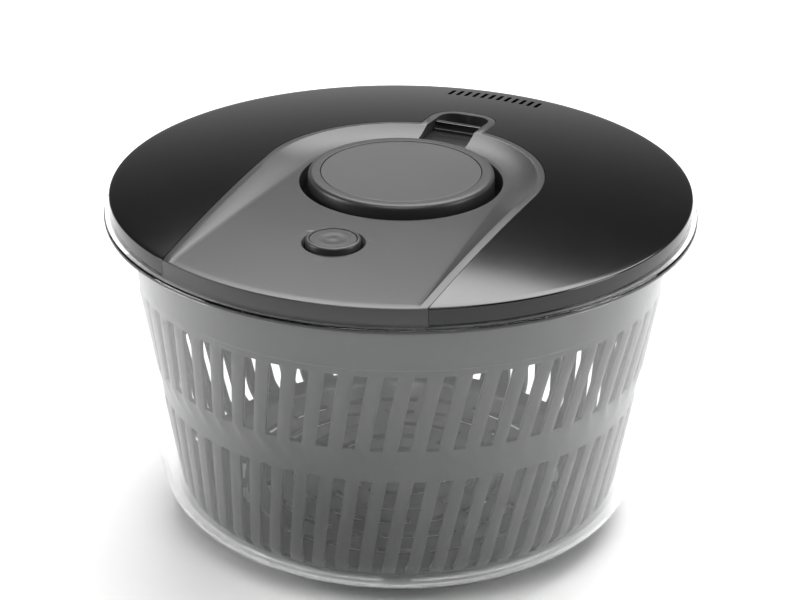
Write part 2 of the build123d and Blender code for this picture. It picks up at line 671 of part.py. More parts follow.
def pawl(angle):
    """A finger on its pin, its tip just inside the ratchet's teeth as when the plate coasts."""
    tip_r = RATCHET_TIP_R - FREE_GAP - PAWL_TIP_R
    root = Pos(PAWL_PIVOT_R, 0) * Circle(PAWL_ROOT_R)
    turn = math.radians(PAWL_SWEEP)
    tip = Pos(tip_r * math.cos(turn), tip_r * math.sin(turn)) * Circle(PAWL_TIP_R)
    finger = make_hull(root.edges() + tip.edges()) - Pos(PAWL_PIVOT_R, 0) * Circle(PAWL_PIN_R + RUN_GAP)
    return Rot(0, 0, angle) * prism(finger, PAWL_Z, PAWL_Z + PAWL_T)


def pawl_pins():
    return Compound(children=[tube(PAWL_PIN_R, 0, CARRIER_Z, PAWL_Z + PAWL_T, at)
                              for at in on_circle(PAWL_PIVOT_R, PAWL_ANGLES)])


def drive_plate():
    hub_r = RATCHET_R + PLATE_T
    cup_in = DRUM_R + PLATE_CUP_GAP
    cup_out = cup_in + PLATE_T
    low = HUB_FLOOR_Z - PLATE_T
    body = tube(cup_out, JOURNAL_LOW_R + RUN_GAP, low, HUB_FLOOR_Z)
    body += tube(hub_r, RATCHET_R, low, HUB_TOP_Z)
    body += tube(cup_out, cup_in, low, PLATE_TOP_Z)
    body += tube(PLATE_R, cup_in, PLATE_TOP_Z - PLATE_T, PLATE_TOP_Z)
    fin_l = PLATE_R - cup_in - PLATE_FIN_H
    fin = Pos(cup_in + fin_l / 2 + PLATE_T / 2, 0, PLATE_TOP_Z - PLATE_T - PLATE_FIN_H / 2)
    body += around(fin * Box(fin_l, PLATE_T, PLATE_FIN_H), PLATE_FIN_COUNT, 180 / PLATE_FIN_COUNT)
    notch_depth = 2 * (DRIVE_RIB_D + FREE_GAP)
    notch = Pos(PLATE_R, 0, PLATE_TOP_Z) * Box(notch_depth, DRIVE_RIB_W + 2 * FREE_GAP, 4 * PLATE_T)
    return body - around(notch, DRIVE_RIB_COUNT)


def plate_washer():
    top = HUB_FLOOR_Z - PLATE_T - END_PLAY
    return tube(WASHER_R, SCREW_R + PILOT_GAP, top - WASHER_T, top)


def screw(at, seat, length=SCREW_L - FREE_GAP):
    """A screw driven upwards, its head under the face at seat."""
    head = tube(SCREW_HEAD_R, 0, seat - SCREW_HEAD_H, seat, at)
    head = fillet(head.edges().group_by(Axis.Z)[0], SCREW_HEAD_ROUND)
    recess = Pos(at[0], at[1], seat - SCREW_HEAD_H) * Box(SCREW_R * 2, SCREW_RECESS_W, SCREW_HEAD_H)
    cross = Rot(0, 0, 90) * Box(SCREW_R * 2, SCREW_RECESS_W, SCREW_HEAD_H)
    recess += Pos(at[0], at[1], seat - SCREW_HEAD_H) * cross
    return head + tube(SCREW_R, 0, seat, seat + length, at) - recess


# ---- inner cover ----
def inner_cover():
    outer_r = LID_R - SKIN - SEAM
    low = COVER_Z - CUT_PAST
    high = COVER_TOP_Z + CUT_PAST
    body = tube(outer_r, DRUM_SCREW_R + BOSS_R + SEAM, COVER_Z, COVER_TOP_Z)
    plug_r = NECK_R - BOWL_WALL - PLUG_GAP
    plug = tube(plug_r, plug_r - PLUG_WALL, COVER_Z - PLUG_H, COVER_Z)
    window_half = VENT_COUNT * VENT_PITCH / 2 + VENT_W
    plug -= Pos(0, plug_r, COVER_Z) * Box(2 * window_half, 3 * VENT_L, 4 * PLUG_H)
    body += plug
    body -= vents(low, high)
    body -= tube(BRAKE_STEM_R + FREE_GAP, 0, low, high, (0, BUTTON_Y))
    for at in on_circle(COVER_SCREW_R, SHELL_SCREW_ANGLES + PANEL_SCREW_ANGLES):
        body -= tube(SCREW_R + FREE_GAP, 0, low, high, at)
    return body


def rim_gasket():
    return tube(LID_R - SKIN - SEAM, NECK_R - BOWL_WALL + PLUG_GAP, SKIRT_Z, COVER_Z)


# ---- stop button ----
BUTTON_TOP_Z = floor_z(0, BUTTON_Y) + BUTTON_PROUD
BUTTON_R = BUTTON_HOLE_R - FREE_GAP
BUTTON_SKIRT_Z = COVER_TOP_Z + BUTTON_TRAVEL + FREE_GAP
BUTTON_WEB_Z = BUTTON_TOP_Z - BUTTON_INLAY_T - SKIN / 2
BRAKE_PAD_Z = PLATE_TOP_Z + BUTTON_TRAVEL + END_PLAY
BUTTON_AT = (0, BUTTON_Y)


def stop_button():
    body = tube(BUTTON_R, 0, BUTTON_SKIRT_Z, BUTTON_TOP_Z, BUTTON_AT)
    body = fillet(body.edges().group_by(Axis.Z)[-1], BUTTON_ROUND)
    body -= tube(BUTTON_R - SKIN / 2, 0, BUTTON_SKIRT_Z - CUT_PAST, BUTTON_WEB_Z, BUTTON_AT)
    return body - tube(BUTTON_INLAY_R, 0, BUTTON_TOP_Z - BUTTON_INLAY_T, BUTTON_TOP_Z + CUT_PAST, BUTTON_AT)


def button_inlay():
    cap = dished_disc(BUTTON_INLAY_R - SEAM, BUTTON_TOP_Z - BUTTON_INLAY_T, BUTTON_TOP_Z, BUTTON_DISH)
    return Pos(0, BUTTON_Y, 0) * cap


def brake_stem():
    return tube(BRAKE_STEM_R, 0, BRAKE_PAD_Z + BRAKE_PAD_T, BUTTON_WEB_Z, BUTTON_AT)


def brake_pad():
    return tube(BRAKE_PAD_R, 0, BRAKE_PAD_Z, BRAKE_PAD_Z + BRAKE_PAD_T, BUTTON_AT)


def button_spring():
    spring = coil(BUTTON_SPRING_R, BUTTON_SPRING_WIRE, BUTTON_SPRING_TURNS, COVER_TOP_Z, BUTTON_WEB_Z)
    return Pos(0, BUTTON_Y, 0) * spring


# ---- lock slider ----
def lock_slider():
    low = POCKET_FLOOR_Z + END_PLAY
    deck = low + SLIDER_T
    back = WELL_R + SLIDER_BACK
    front = WELL_R + SEAM
    base = Box(2 * (POCKET_HALF + RAIL_D - SEAM), back - front, SLIDER_T)
    body = Pos(0, (back + front) / 2, low + SLIDER_T / 2) * base
    tongue_l = KNOB_GAP - FREE_GAP
    tongue = Box(2 * TONGUE_HALF, tongue_l, SLIDER_T)
    body += Pos(0, front - tongue_l / 2, low + SLIDER_T / 2) * tongue
    ridge_y = WELL_R + SLIDER_RIDGE_Y
    ridge_top = crown_z(0, ridge_y) - SLIDER_RIDGE_DROP
    width = POCKET_HALF - FREE_GAP
    tall = ridge_top - low
    front = Plane.XZ * Pos(0, ridge_top - tall / 2) * RectangleRounded(2 * width, tall, SLIDER_CORNER)
    ridge = Pos(0, ridge_y, 0) * extrude(front, SLIDER_RIDGE_T / 2, both=True)
    step = Box(2 * width, SLIDER_STEP_D, SLIDER_STEP_H)
    step = Pos(0, ridge_y - SLIDER_STEP_D / 2, deck + SLIDER_STEP_H / 2) * step
    return body + step + ridge


def screws_on(places, seat):
    return Compound(children=[screw(at, seat) for at in places])


save("bowl", bowl())
save("foot_ring", foot_ring())
save("basket", basket())
save("lid_shell", lid_shell())
save("lid_panel", lid_panel())
save("inner_cover", inner_cover())
save("rim_gasket", rim_gasket())
save("drive_housing", drive_housing())
save("guide_bush", guide_bush())
save("spindle_bush", spindle_bush())
save("knob_cap", knob_cap())
save("knob_inlay", knob_inlay())
save("plunger", plunger())
save("drive_nut", drive_nut())
save("return_spring", return_spring())
save("spindle", spindle())
save("pawl_carrier", pawl_carrier())
for number, angle in enumerate(PAWL_ANGLES, 1):
    save(f"pawl_{number}", pawl(angle))
save("pawl_pins", pawl_pins())
save("ratchet_ring", ratchet_ring())
save("drive_plate", drive_plate())
save("plate_washer", plate_washer())
save("plate_screw", screw((0, 0), HUB_FLOOR_Z - PLATE_T - END_PLAY - WASHER_T))
save("stop_button", stop_button())
save("button_inlay", button_inlay())
save("brake_stem", brake_stem())
save("brake_pad", brake_pad())
save("button_spring", button_spring())
save("lock_slider", lock_slider())
save("cover_screws", screws_on(on_circle(COVER_SCREW_R, SHELL_SCREW_ANGLES + PANEL_SCREW_ANGLES), COVER_Z))
save("housing_screws", screws_on(on_circle(DRUM_SCREW_R, DRUM_SCREW_ANGLES), COVER_Z - DRUM_FLANGE_T))
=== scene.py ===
# %% [markdown]
# # A hand-pumped salad spinner
# The object is a clear bowl with a slotted basket inside and a black lid on top. The lid carries a
# pump knob, a round stop button and a small sliding lock. The exact frame of solids comes first.
# The pieces that the eye meets are then modelled again with softer edges and fine shapes, and every
# piece gets a finish of its own.

import json
import math

import bpy
from mathutils import Matrix, Vector

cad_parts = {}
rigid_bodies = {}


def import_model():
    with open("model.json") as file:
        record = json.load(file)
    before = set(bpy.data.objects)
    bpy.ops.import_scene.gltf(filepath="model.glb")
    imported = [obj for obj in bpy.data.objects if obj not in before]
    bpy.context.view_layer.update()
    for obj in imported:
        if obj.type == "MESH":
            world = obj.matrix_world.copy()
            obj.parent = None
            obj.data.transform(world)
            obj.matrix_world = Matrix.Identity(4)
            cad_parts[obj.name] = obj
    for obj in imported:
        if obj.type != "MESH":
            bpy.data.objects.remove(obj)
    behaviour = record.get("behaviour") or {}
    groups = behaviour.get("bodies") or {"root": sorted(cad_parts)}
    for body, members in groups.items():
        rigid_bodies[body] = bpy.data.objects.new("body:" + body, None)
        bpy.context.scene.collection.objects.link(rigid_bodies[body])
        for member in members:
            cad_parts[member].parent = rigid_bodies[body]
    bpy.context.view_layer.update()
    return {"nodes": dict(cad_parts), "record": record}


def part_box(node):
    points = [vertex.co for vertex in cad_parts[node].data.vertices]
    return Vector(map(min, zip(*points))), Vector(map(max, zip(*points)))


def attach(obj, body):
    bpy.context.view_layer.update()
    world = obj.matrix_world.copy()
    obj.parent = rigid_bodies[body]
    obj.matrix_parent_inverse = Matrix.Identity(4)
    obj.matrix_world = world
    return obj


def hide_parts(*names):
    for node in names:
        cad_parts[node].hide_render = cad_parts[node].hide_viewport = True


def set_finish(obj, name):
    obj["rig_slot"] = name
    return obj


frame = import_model()
MM = 0.001
SMOOTH_ANGLE = math.radians(30)

# %% [markdown]
# ## Sizes
# All the round pieces share one upright axis through the middle of the bowl. The overall sizes are
# read off the frame, and the finer ones repeat the solids' own numbers. Everything is kept in
# millimetres until a corner is placed.

# %% Leading sizes
def top_of(node):
    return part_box(node)[1].z / MM


def foot_of(node):
    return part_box(node)[0].z / MM


def reach_of(node):
    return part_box(node)[1].x / MM


LID_R = reach_of("lid_shell")
SKIRT_Z = foot_of("lid_shell")
EDGE_Z = 160.0
CROWN = 8.0
FLOOR_CROWN = 2.9
SKIN = 2.4
WELL_R = 45.6
KNOB_R = reach_of("knob_cap")
KNOB_TOP = top_of("knob_cap")
BUTTON_AT = (0.0, (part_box("stop_button")[0].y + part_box("stop_button")[1].y) / 2 / MM)
BUTTON_TOP = top_of("stop_button")
print("lid radius", round(LID_R, 2), "button at", BUTTON_AT)

# %% [markdown]
# ## Drawing and turning
# Most of these pieces would come off a lathe or out of a round mould. Pulling one corner along half
# of the outline and spinning it about the axis gives even rings of faces, which shine without
# dents. Corners are eased in the outline itself, because a real moulding has no knife edges and the
# thin bright line on an edge comes from that rounding.

# %% Helpers for outlines
def begin():
    """Leaves edit mode with nothing selected."""
    if bpy.context.object and bpy.context.object.mode == "EDIT":
        bpy.ops.object.mode_set(mode="OBJECT")
    bpy.ops.object.select_all(action="DESELECT")


def draw(points):
    """Pulls one corner from point to point, in millimetres, and stays in edit mode."""
    begin()
    bpy.ops.mesh.primitive_plane_add(size=MM, location=Vector(points[0]) * MM)
    bpy.ops.object.transform_apply(location=True, rotation=False, scale=False)
    bpy.context.tool_settings.mesh_select_mode = (True, False, False)
    bpy.ops.object.mode_set(mode="EDIT")
    bpy.ops.mesh.select_all(action="SELECT")
    bpy.ops.mesh.merge(type="CENTER")
    for here, there in zip(points, points[1:]):
        step = (Vector(there) - Vector(here)) * MM
        bpy.ops.mesh.extrude_vertices_move(TRANSFORM_OT_translate={"value": step})
    return bpy.context.object


def close_up(obj, name):
    """Merges doubles, turns the faces outward, names the piece and smooths its gentle bends."""
    bpy.ops.mesh.select_all(action="SELECT")
    bpy.ops.mesh.remove_doubles(threshold=1e-6)
    bpy.ops.mesh.normals_make_consistent(inside=False)
    bpy.ops.object.mode_set(mode="OBJECT")
    obj.name = name
    obj.data.name = name
    bpy.ops.object.shade_smooth_by_angle(angle=SMOOTH_ANGLE)
    return obj


def eased(corners, steps=5):
    """An outline of (radius, height, rounding) corners with each corner rounded."""
    points = []
    for i, (x, z, rounding) in enumerate(corners):
        here = Vector((x, z))
        if rounding == 0:
            points.append((x, z))
            continue
        before = Vector(corners[i - 1][:2]) - here
        after = Vector(corners[(i + 1) % len(corners)][:2]) - here
        start = here + before.normalized() * rounding
        end = here + after.normalized() * rounding
        for k in range(steps + 1):
            t = k / steps
            p = start * (1 - t) ** 2 + here * (2 * t * (1 - t)) + end * t ** 2
            points.append((p.x, p.y))
    return points


def spun(name, outline, steps, centre=(0.0, 0.0)):
    """Turns a (radius, height) outline about an upright axis into a closed piece."""
    cx, cy = centre
    points = [(cx + r, cy, z) for r, z in outline]
    if outline[0][0] > 0:
        points.append(points[0])
    obj = draw(points)
    bpy.ops.mesh.select_all(action="SELECT")
    axis_at = (cx * MM, cy * MM, 0)
    bpy.ops.mesh.spin(steps=steps, angle=math.tau, center=axis_at, axis=(0, 0, 1))
    return close_up(obj, name)


def prism(name, outline, low, high):
    """A closed (x, y) outline drawn out upwards from one height to another."""
    obj = draw([(x, y, low) for x, y in outline])
    bpy.ops.mesh.select_all(action="SELECT")
    bpy.ops.mesh.edge_face_add()
    lift = (0, 0, (high - low) * MM)
    bpy.ops.mesh.extrude_region_move(TRANSFORM_OT_translate={"value": lift})
    return close_up(obj, name)


def work_on(obj):
    begin()
    bpy.context.view_layer.objects.active = obj
    obj.select_set(True)


def cut(obj, cutter):
    """Takes a cutter out of a piece and throws the cutter away."""
    work_on(obj)
    modifier = obj.modifiers.new("cut", "BOOLEAN")
    modifier.operation = "DIFFERENCE"
    modifier.solver = "EXACT"
    modifier.object = cutter
    bpy.ops.object.modifier_apply(modifier=modifier.name)
    bpy.data.objects.remove(cutter)
    bpy.ops.object.shade_smooth_by_angle(angle=SMOOTH_ANGLE)
    return obj


def soften(obj, width, angle, segments):
    """Rounds the sharp edges of a piece."""
    work_on(obj)
    modifier = obj.modifiers.new("soften", "BEVEL")
    modifier.width = width * MM
    modifier.segments = segments
    modifier.limit_method = "ANGLE"
    modifier.angle_limit = math.radians(angle)
    bpy.ops.object.modifier_apply(modifier=modifier.name)
    bpy.ops.object.shade_smooth_by_angle(angle=SMOOTH_ANGLE)
    return obj


def place(obj, body, node, slot_name):
    """Puts a finished piece in for a node of the frame."""
    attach(obj, body)
    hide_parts(node)
    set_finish(obj, slot_name)
    print(obj.name, "faces:", len(obj.data.polygons))
    return obj


# %% [markdown]
# ## The clear bowl
# The bowl is one injection moulding with a wall of even thickness, a lip that the lid sits on and a
# small cone inside that the basket turns on. Its outline is a gentle arc that runs into a tight
# bend at the foot. The whole section, inside and outside, is spun at once, so light bends through a
# real wall.

# %% Bowl outline
NECK_R = 126.7
BOWL_LOW_R = 110.0
BOWL_CORNER_Z = 22.5
BASE_R = 69.0
BOWL_WALL = 2.6
BOWL_UNDER_Z = 0.8
BOWL_FLOOR_Z = 3.4
BELLY = 3.1
SIDE_PARTS = 24
BEND_PARTS = 18
LIP_T = 2.5
RING_SEAT_R = 63.0
RING_SEAT_Z = 2.4
PIVOT_TOP = 16.4
BOWL_STEPS = 192
LIP_R = reach_of("bowl")


def bend(start, start_run, end, end_run, steps):
    """Points of a smooth bend between two places, leaving and arriving in given directions."""
    p0, p1 = Vector(start), Vector(end)
    chord = (p1 - p0).length
    m0, m1 = Vector(start_run).normalized() * chord, Vector(end_run).normalized() * chord
    points = []
    for k in range(1, steps + 1):
        t = k / steps
        p = p0 * (2 * t ** 3 - 3 * t ** 2 + 1) + m0 * (t ** 3 - 2 * t ** 2 + t)
        p += p1 * (3 * t ** 2 - 2 * t ** 3) + m1 * (t ** 3 - t ** 2)
        points.append((p.x, p.y))
    return points


def bowl_side(inset, under):
    """The bowl's side from the neck down to the flat of its base."""
    wall = []
    for k in range(SIDE_PARTS + 1):
        t = k / SIDE_PARTS
        r = NECK_R + (BOWL_LOW_R - NECK_R) * t + BELLY * 4 * t * (1 - t) - inset
        wall.append((r, SKIRT_Z + (BOWL_CORNER_Z - SKIRT_Z) * t))
    run = Vector(wall[-1]) - Vector(wall[-2])
    return wall + bend(wall[-1], run, (BASE_R, under), (-1, 0), BEND_PARTS)


# %% Spin the bowl
bowl_outer = bowl_side(0, BOWL_UNDER_Z)
bowl_inner = bowl_side(BOWL_WALL, BOWL_FLOOR_Z)
lip_foot = SKIRT_Z - LIP_T
lip = eased([(LIP_R - 4, SKIRT_Z, 0), (LIP_R, SKIRT_Z, 1.0), (LIP_R, lip_foot, 1.0), (NECK_R, lip_foot, 0)])
ring_seat = [(BASE_R, RING_SEAT_Z), (RING_SEAT_R, RING_SEAT_Z), (RING_SEAT_R, BOWL_UNDER_Z),
             (0, BOWL_UNDER_Z)]
pivot = eased([(7.4, BOWL_FLOOR_Z, 0.4), (6.9, BOWL_FLOOR_Z + 0.6, 0), (3.5, PIVOT_TOP, 0.8),
               (2.0, PIVOT_TOP, 0)])
under_lip = [p for p in bowl_outer if p[1] < SKIRT_Z - 3.5]
bowl_outline = [(0, PIVOT_TOP)] + pivot[::-1] + bowl_inner[::-1] + lip + under_lip + ring_seat
place(spun("clear_bowl", bowl_outline, steps=BOWL_STEPS), "bowl", "bowl", "clear_bowl")

# %% [markdown]
# ## The slotted basket
# The basket is a thin cup with two rows of leaning slots. A ring of edges is pulled down the wall
# row by row, and each row is turned a little, so the columns lean. The slots are then faces taken
# away, and the ribs between them are pushed out and tapered, because on the real piece they stand
# proud and run out to a point in the band below.

# %% Basket rows
SLOT_COUNT = 60
SHARE = 7
SLOT_SHARE = 3
COLUMNS = SLOT_COUNT * SHARE
LEAN = math.tan(math.radians(9.0))
BASKET_TOP = top_of("basket")
BASKET_R = reach_of("basket")
BASKET_FOOT = foot_of("basket")
BASKET_NECK = (119.5, 126.0)
BASKET_CORNER = (102.0, 24.8)
BASKET_BASE = (90.0, 12.8)
UPPER_SLOT = (85.0, 123.0)
LOWER_SLOT = (18.0, 68.5)
LEAN_R = 110.0
RIB_R = 112.0
BASKET_WALL = 2.2
BASKET_EDGE = 0.35
DRIVE_RIBS = 8
FLOOR_BAR = 1.7
FLOOR_OPEN_HALF = 1.6
FLOOR_OPEN_SHARE = 0.74
FLOOR_RINGS = ((74.2, 20), (61.2, 20), (48.2, 14), (35.2, 12), (22.2, 7))


def side_r(z):
    rise = (z - BASKET_CORNER[1]) / (BASKET_NECK[1] - BASKET_CORNER[1])
    return BASKET_CORNER[0] + (BASKET_NECK[0] - BASKET_CORNER[0]) * rise


def lean_at(z):
    """How far round the columns have turned at a height."""
    middle_up, middle_low = sum(UPPER_SLOT) / 2, sum(LOWER_SLOT) / 2
    up = (max(z, UPPER_SLOT[0]) - middle_up) * LEAN / LEAN_R
    low = (min(z, LOWER_SLOT[1]) - middle_low) * LEAN / LEAN_R
    blend = min(max((z - LOWER_SLOT[1]) / (UPPER_SLOT[0] - LOWER_SLOT[1]), 0), 1)
    return low + (up - low) * blend


rows = [(BASKET_R - 0.5, BASKET_TOP), (BASKET_R - 0.1, BASKET_TOP - 0.2), (BASKET_R, BASKET_TOP - 0.8)]
rows += [(BASKET_R - 0.5, 136.0), (BASKET_NECK[0] + 0.1, 126.5), (BASKET_NECK[0] - 0.25, 126.2)]
heights = [123.8, 123, 121, 117, 110, 103, 96, 90, 87, 85, 83, 81, 79, 77, 75, 72, 69.3, 68.5]
heights += [66.5, 62, 55, 48, 41, 34, 28, 25.4]
rows += [(side_r(z), z) for z in heights]
rows += bend(BASKET_CORNER, (-17.5, -101.2), BASKET_BASE, (-1, 0), 12)
for ring_r, _ in FLOOR_RINGS:
    rows += [(ring_r + FLOOR_BAR, BASKET_FOOT), (ring_r - FLOOR_BAR, BASKET_FOOT)]
rows += [(7.0, BASKET_FOOT), (5.1, BASKET_FOOT + 0.2), (4.0, 16.9), (2.0, 16.9)]
print("basket rows:", len(rows))

# %% Pull the rows
begin()
bpy.ops.mesh.primitive_circle_add(vertices=COLUMNS, radius=rows[0][0] * MM, fill_type="NOTHING",
                                  location=(0, 0, rows[0][1] * MM))
bpy.ops.object.transform_apply(location=True, rotation=False, scale=False)
basket = bpy.context.object
bpy.context.tool_settings.mesh_select_mode = (False, True, False)
bpy.ops.object.mode_set(mode="EDIT")
bpy.ops.mesh.select_all(action="SELECT")
for (r0, z0), (r1, z1) in zip(rows, rows[1:]):
    bpy.ops.mesh.extrude_edges_move(TRANSFORM_OT_translate={"value": (0, 0, (z1 - z0) * MM)})
    bpy.ops.transform.resize(value=(r1 / r0, r1 / r0, 1), center_override=(0, 0, 0))
    turn = lean_at(z1) - lean_at(z0)
    if abs(turn) > 1e-9:
        bpy.ops.transform.rotate(value=-turn, orient_axis="Z", center_override=(0, 0, 0))
bpy.ops.mesh.edge_face_add()
bpy.ops.mesh.select_all(action="SELECT")
bpy.ops.mesh.normals_make_consistent(inside=False)
bpy.ops.object.mode_set(mode="OBJECT")


# %% Open the slots
def column_of(point):
    """Which column of the basket a point lies in, counted from the first slot."""
    angle = math.atan2(point.y, point.x) - lean_at(point.z / MM)
    return (angle / math.tau * COLUMNS) % COLUMNS


def in_slot(centre):
    """True for the middle of a face that a slot takes away."""
    z, r = centre.z / MM, math.hypot(centre.x, centre.y) / MM
    column = column_of(centre)
    if z > BASKET_FOOT + 1:
        in_row = UPPER_SLOT[0] < z < UPPER_SLOT[1] or LOWER_SLOT[0] < z < LOWER_SLOT[1]
        return in_row and column % SHARE < SLOT_SHARE
    for ring_r, count in FLOOR_RINGS:
        if abs(r - ring_r) < FLOOR_OPEN_HALF:
            share = COLUMNS / count
            return column % share < share * FLOOR_OPEN_SHARE
    return False


def choose(obj, faces=None, corners=None):
    """Selects faces by their middles, or corners by their places, and enters edit mode."""
    work_on(obj)
    mesh = obj.data
    for parts in (mesh.polygons, mesh.edges, mesh.vertices):
        parts.foreach_set("select", [False] * len(parts))
    bpy.context.tool_settings.mesh_select_mode = (corners is not None, False, faces is not None)
    if faces:
        mesh.polygons.foreach_set("select", [bool(faces(p.center)) for p in mesh.polygons])
    else:
        mesh.vertices.foreach_set("select", [bool(corners(v.co)) for v in mesh.vertices])
    bpy.ops.object.mode_set(mode="EDIT")


choose(basket, faces=in_slot)
bpy.ops.mesh.delete(type="FACE")
bpy.ops.object.mode_set(mode="OBJECT")
print("basket faces left:", len(basket.data.polygons))


# %% Round the ribs
def rib_line(point, line):
    """True on one of the upright lines of a rib, counted from the rib's middle."""
    column = round(column_of(point)) % SHARE
    return abs(column - (SLOT_SHARE + SHARE) / 2) == line if column else False


RIB_ROWS = ((UPPER_SLOT[0], 122.0, 0.85), (82.5, 84.5, 0.75), (80.5, 82, 0.55), (78.5, 80, 0.35),
            (76.5, 78, 0.15), (20.0, 67.0, 0.7))
for low, high, proud in RIB_ROWS:
    for line, share in ((0, 1.0), (1, 0.72)):
        choose(basket, corners=lambda c: low <= c.z / MM <= high and rib_line(c, line))
        grow = 1 + proud * share / RIB_R
        bpy.ops.transform.resize(value=(grow, grow, 1), center_override=(0, 0, 0))
bpy.ops.object.mode_set(mode="OBJECT")

# %% Give the basket its wall
work_on(basket)
wall = basket.modifiers.new("wall", "SOLIDIFY")
wall.thickness = BASKET_WALL * MM
wall.offset = -1
bpy.ops.object.modifier_apply(modifier="wall")
soften(basket, BASKET_EDGE, angle=60, segments=1)
basket.name = "slotted_basket"
basket.data.name = "slotted_basket"


# %% Drive ribs inside the rim
def block(name, low, high, turn=0.0, rounding=0.3):
    """A small moulded block between two corners, its edges rounded, turned about the axis."""
    begin()
    middle = [(a + b) / 2 * MM for a, b in zip(low, high)]
    bpy.ops.mesh.primitive_cube_add(size=1, location=middle)
    obj = bpy.context.object
    obj.scale = [(b - a) * MM for a, b in zip(low, high)]
    bpy.ops.object.transform_apply(location=True, rotation=False, scale=True)
    bpy.context.tool_settings.mesh_select_mode = (False, True, False)
    bpy.ops.object.mode_set(mode="EDIT")
    bpy.ops.mesh.select_all(action="SELECT")
    bpy.ops.mesh.bevel(offset=rounding * MM, segments=3)
    if turn:
        bpy.ops.mesh.select_all(action="SELECT")
        bpy.ops.transform.rotate(value=-turn, orient_axis="Z", center_override=(0, 0, 0))
    return close_up(obj, name)


def join(obj, others):
    """Joins loose parts of one moulding into one piece."""
    work_on(obj)
    for other in others:
        other.select_set(True)
    bpy.ops.object.join()
    return obj


drive_ribs = [block(f"rib_{i}", (115.6, -1.5, 129.0), (118.6, 1.5, 145.0), i * math.tau / DRIVE_RIBS)
              for i in range(DRIVE_RIBS)]
join(basket, drive_ribs)
place(basket, "basket", "basket", "basket_grey")


# %% [markdown]
# ## The lid's crown
# The lid is a shallow polished dome with a short upright rim. It is spun as a thin skin, and the
# outline of the panel is cut out of it with a hair's breadth to spare, which leaves the fine dark
# seam. The drain slots are cut the same way.

# %% Heights over the lid
def cap_z(x, y, rise):
    """Height of a shallow crowned surface over a point."""
    sphere = (LID_R ** 2 + rise ** 2) / (2 * rise)
    return EDGE_Z + rise - sphere + math.sqrt(max(sphere ** 2 - x * x - y * y, 0))


def crown_z(x, y):
    return cap_z(x, y, CROWN)


def floor_z(x, y):
    return cap_z(x, y, FLOOR_CROWN)


# %% Outline of the panel
PANEL_FRONT = 60.5
PANEL_R = 64.5
FRAME_FRONT = 57.0
FRAME_R = 61.0
FLOOR_R = 48.0
EAR_HALF = 16.0
EAR_END = 87.5
EAR_ROUND = 12.5
SEAM = 0.2
SIDE_STEPS = 30
ARC_STEPS = 48
EAR_STEPS = 15
RIM_ROUND = 0.8
LID_STEPS = 240
TONGUE_DROP = 20.0


def touch_angle(front_half, radius):
    """Where a straight side from the lid's edge touches the round end."""
    front_y = -math.sqrt(LID_R ** 2 - front_half ** 2)
    angle = math.atan2(front_y, front_half) + math.acos(radius / math.hypot(front_half, front_y))
    return angle, front_y


def ear_path(half, end, rounding, root_y, count):
    """Right half of the ear's outline from its root to the middle of its end."""
    points = [(half, root_y + (end - rounding - root_y) * k / 4) for k in range(4)]
    points += [(half - rounding + rounding * math.cos(a), end - rounding + rounding * math.sin(a))
               for a in [math.pi / 2 * k / 8 for k in range(9)]]
    points += [((half - rounding) * (1 - k / (count - 12)), end) for k in range(1, count - 11)]
    return points


def right_side(front_half, radius, ear=None, front_drop=0.0):
    """Right half of a tongue outline, from the lid's edge to the middle of its back."""
    angle, front_y = touch_angle(front_half, radius)
    tx, ty = radius * math.cos(angle), radius * math.sin(angle)
    fx, fy = front_half, front_y
    if front_drop:
        fx, fy = fx + (fx - tx) * front_drop / (ty - fy), fy - front_drop
    points = []
    for k in range(SIDE_STEPS):
        points.append((fx + (tx - fx) * k / SIDE_STEPS, fy + (ty - fy) * k / SIDE_STEPS))
    last = math.acos(EAR_HALF / radius)
    for k in range(ARC_STEPS + 1):
        a = angle + (last - angle) * k / ARC_STEPS
        points.append((radius * math.cos(a), radius * math.sin(a)))
    if ear:
        half, end, rounding = ear
        root = math.sqrt(radius ** 2 - half ** 2)
        points[-1] = (half, root)
        return points + ear_path(half, end, rounding, root, EAR_STEPS)[1:]
    for k in range(1, EAR_STEPS + 1):
        a = last + (math.pi / 2 - last) * k / EAR_STEPS
        points.append((radius * math.cos(a), radius * math.sin(a)))
    return points


def both_sides(right):
    """A whole outline from its right half, round to the left front."""
    return right + [(-x, y) for x, y in right[-2::-1]]


# %% Spin the dome
def dome_profile(rise):
    """Closed section of the lid's skin, crown and rim together."""
    over = [(r, cap_z(r, 0, rise)) for r in [LID_R * k / 40 for k in range(40)]]
    over = [p for p in over if p[0] < LID_R - 1.2]
    edge = eased([over[-1] + (0,), (LID_R, EDGE_Z, RIM_ROUND), (LID_R, SKIRT_Z, 0.3),
                  (LID_R - SKIN, SKIRT_Z, 0)])
    under = [(r, z - SKIN) for r, z in over[::-1] if r < LID_R - SKIN - 1]
    return over + edge[1:] + [(LID_R - SKIN, EDGE_Z - SKIN)] + under


lid_shell = spun("gloss_crown", dome_profile(CROWN), steps=LID_STEPS)
tongue = both_sides(right_side(PANEL_FRONT + SEAM, PANEL_R + SEAM,
                               (EAR_HALF + SEAM, EAR_END + SEAM, EAR_ROUND + SEAM), front_drop=TONGUE_DROP))
cut(lid_shell, prism("tongue", tongue, SKIRT_Z - 2, EDGE_Z + 20))
print("crown faces:", len(lid_shell.data.polygons))

# %% Cut the drain slots
VENT_COUNT = 12
VENT_PITCH = 4.05
VENT_W = 1.9
VENT_L = 9.0
VENT_OUT_R = 124.5


def slot_outline(x, y_out, length, width):
    """A slot with round ends, running back to front."""
    r = width / 2
    angles = [math.pi * k / 8 for k in range(9)]
    top = [(x + r * math.cos(a), y_out - r + r * math.sin(a)) for a in angles]
    low = [(x - r * math.cos(a), y_out - length + r - r * math.sin(a)) for a in angles]
    return top + low


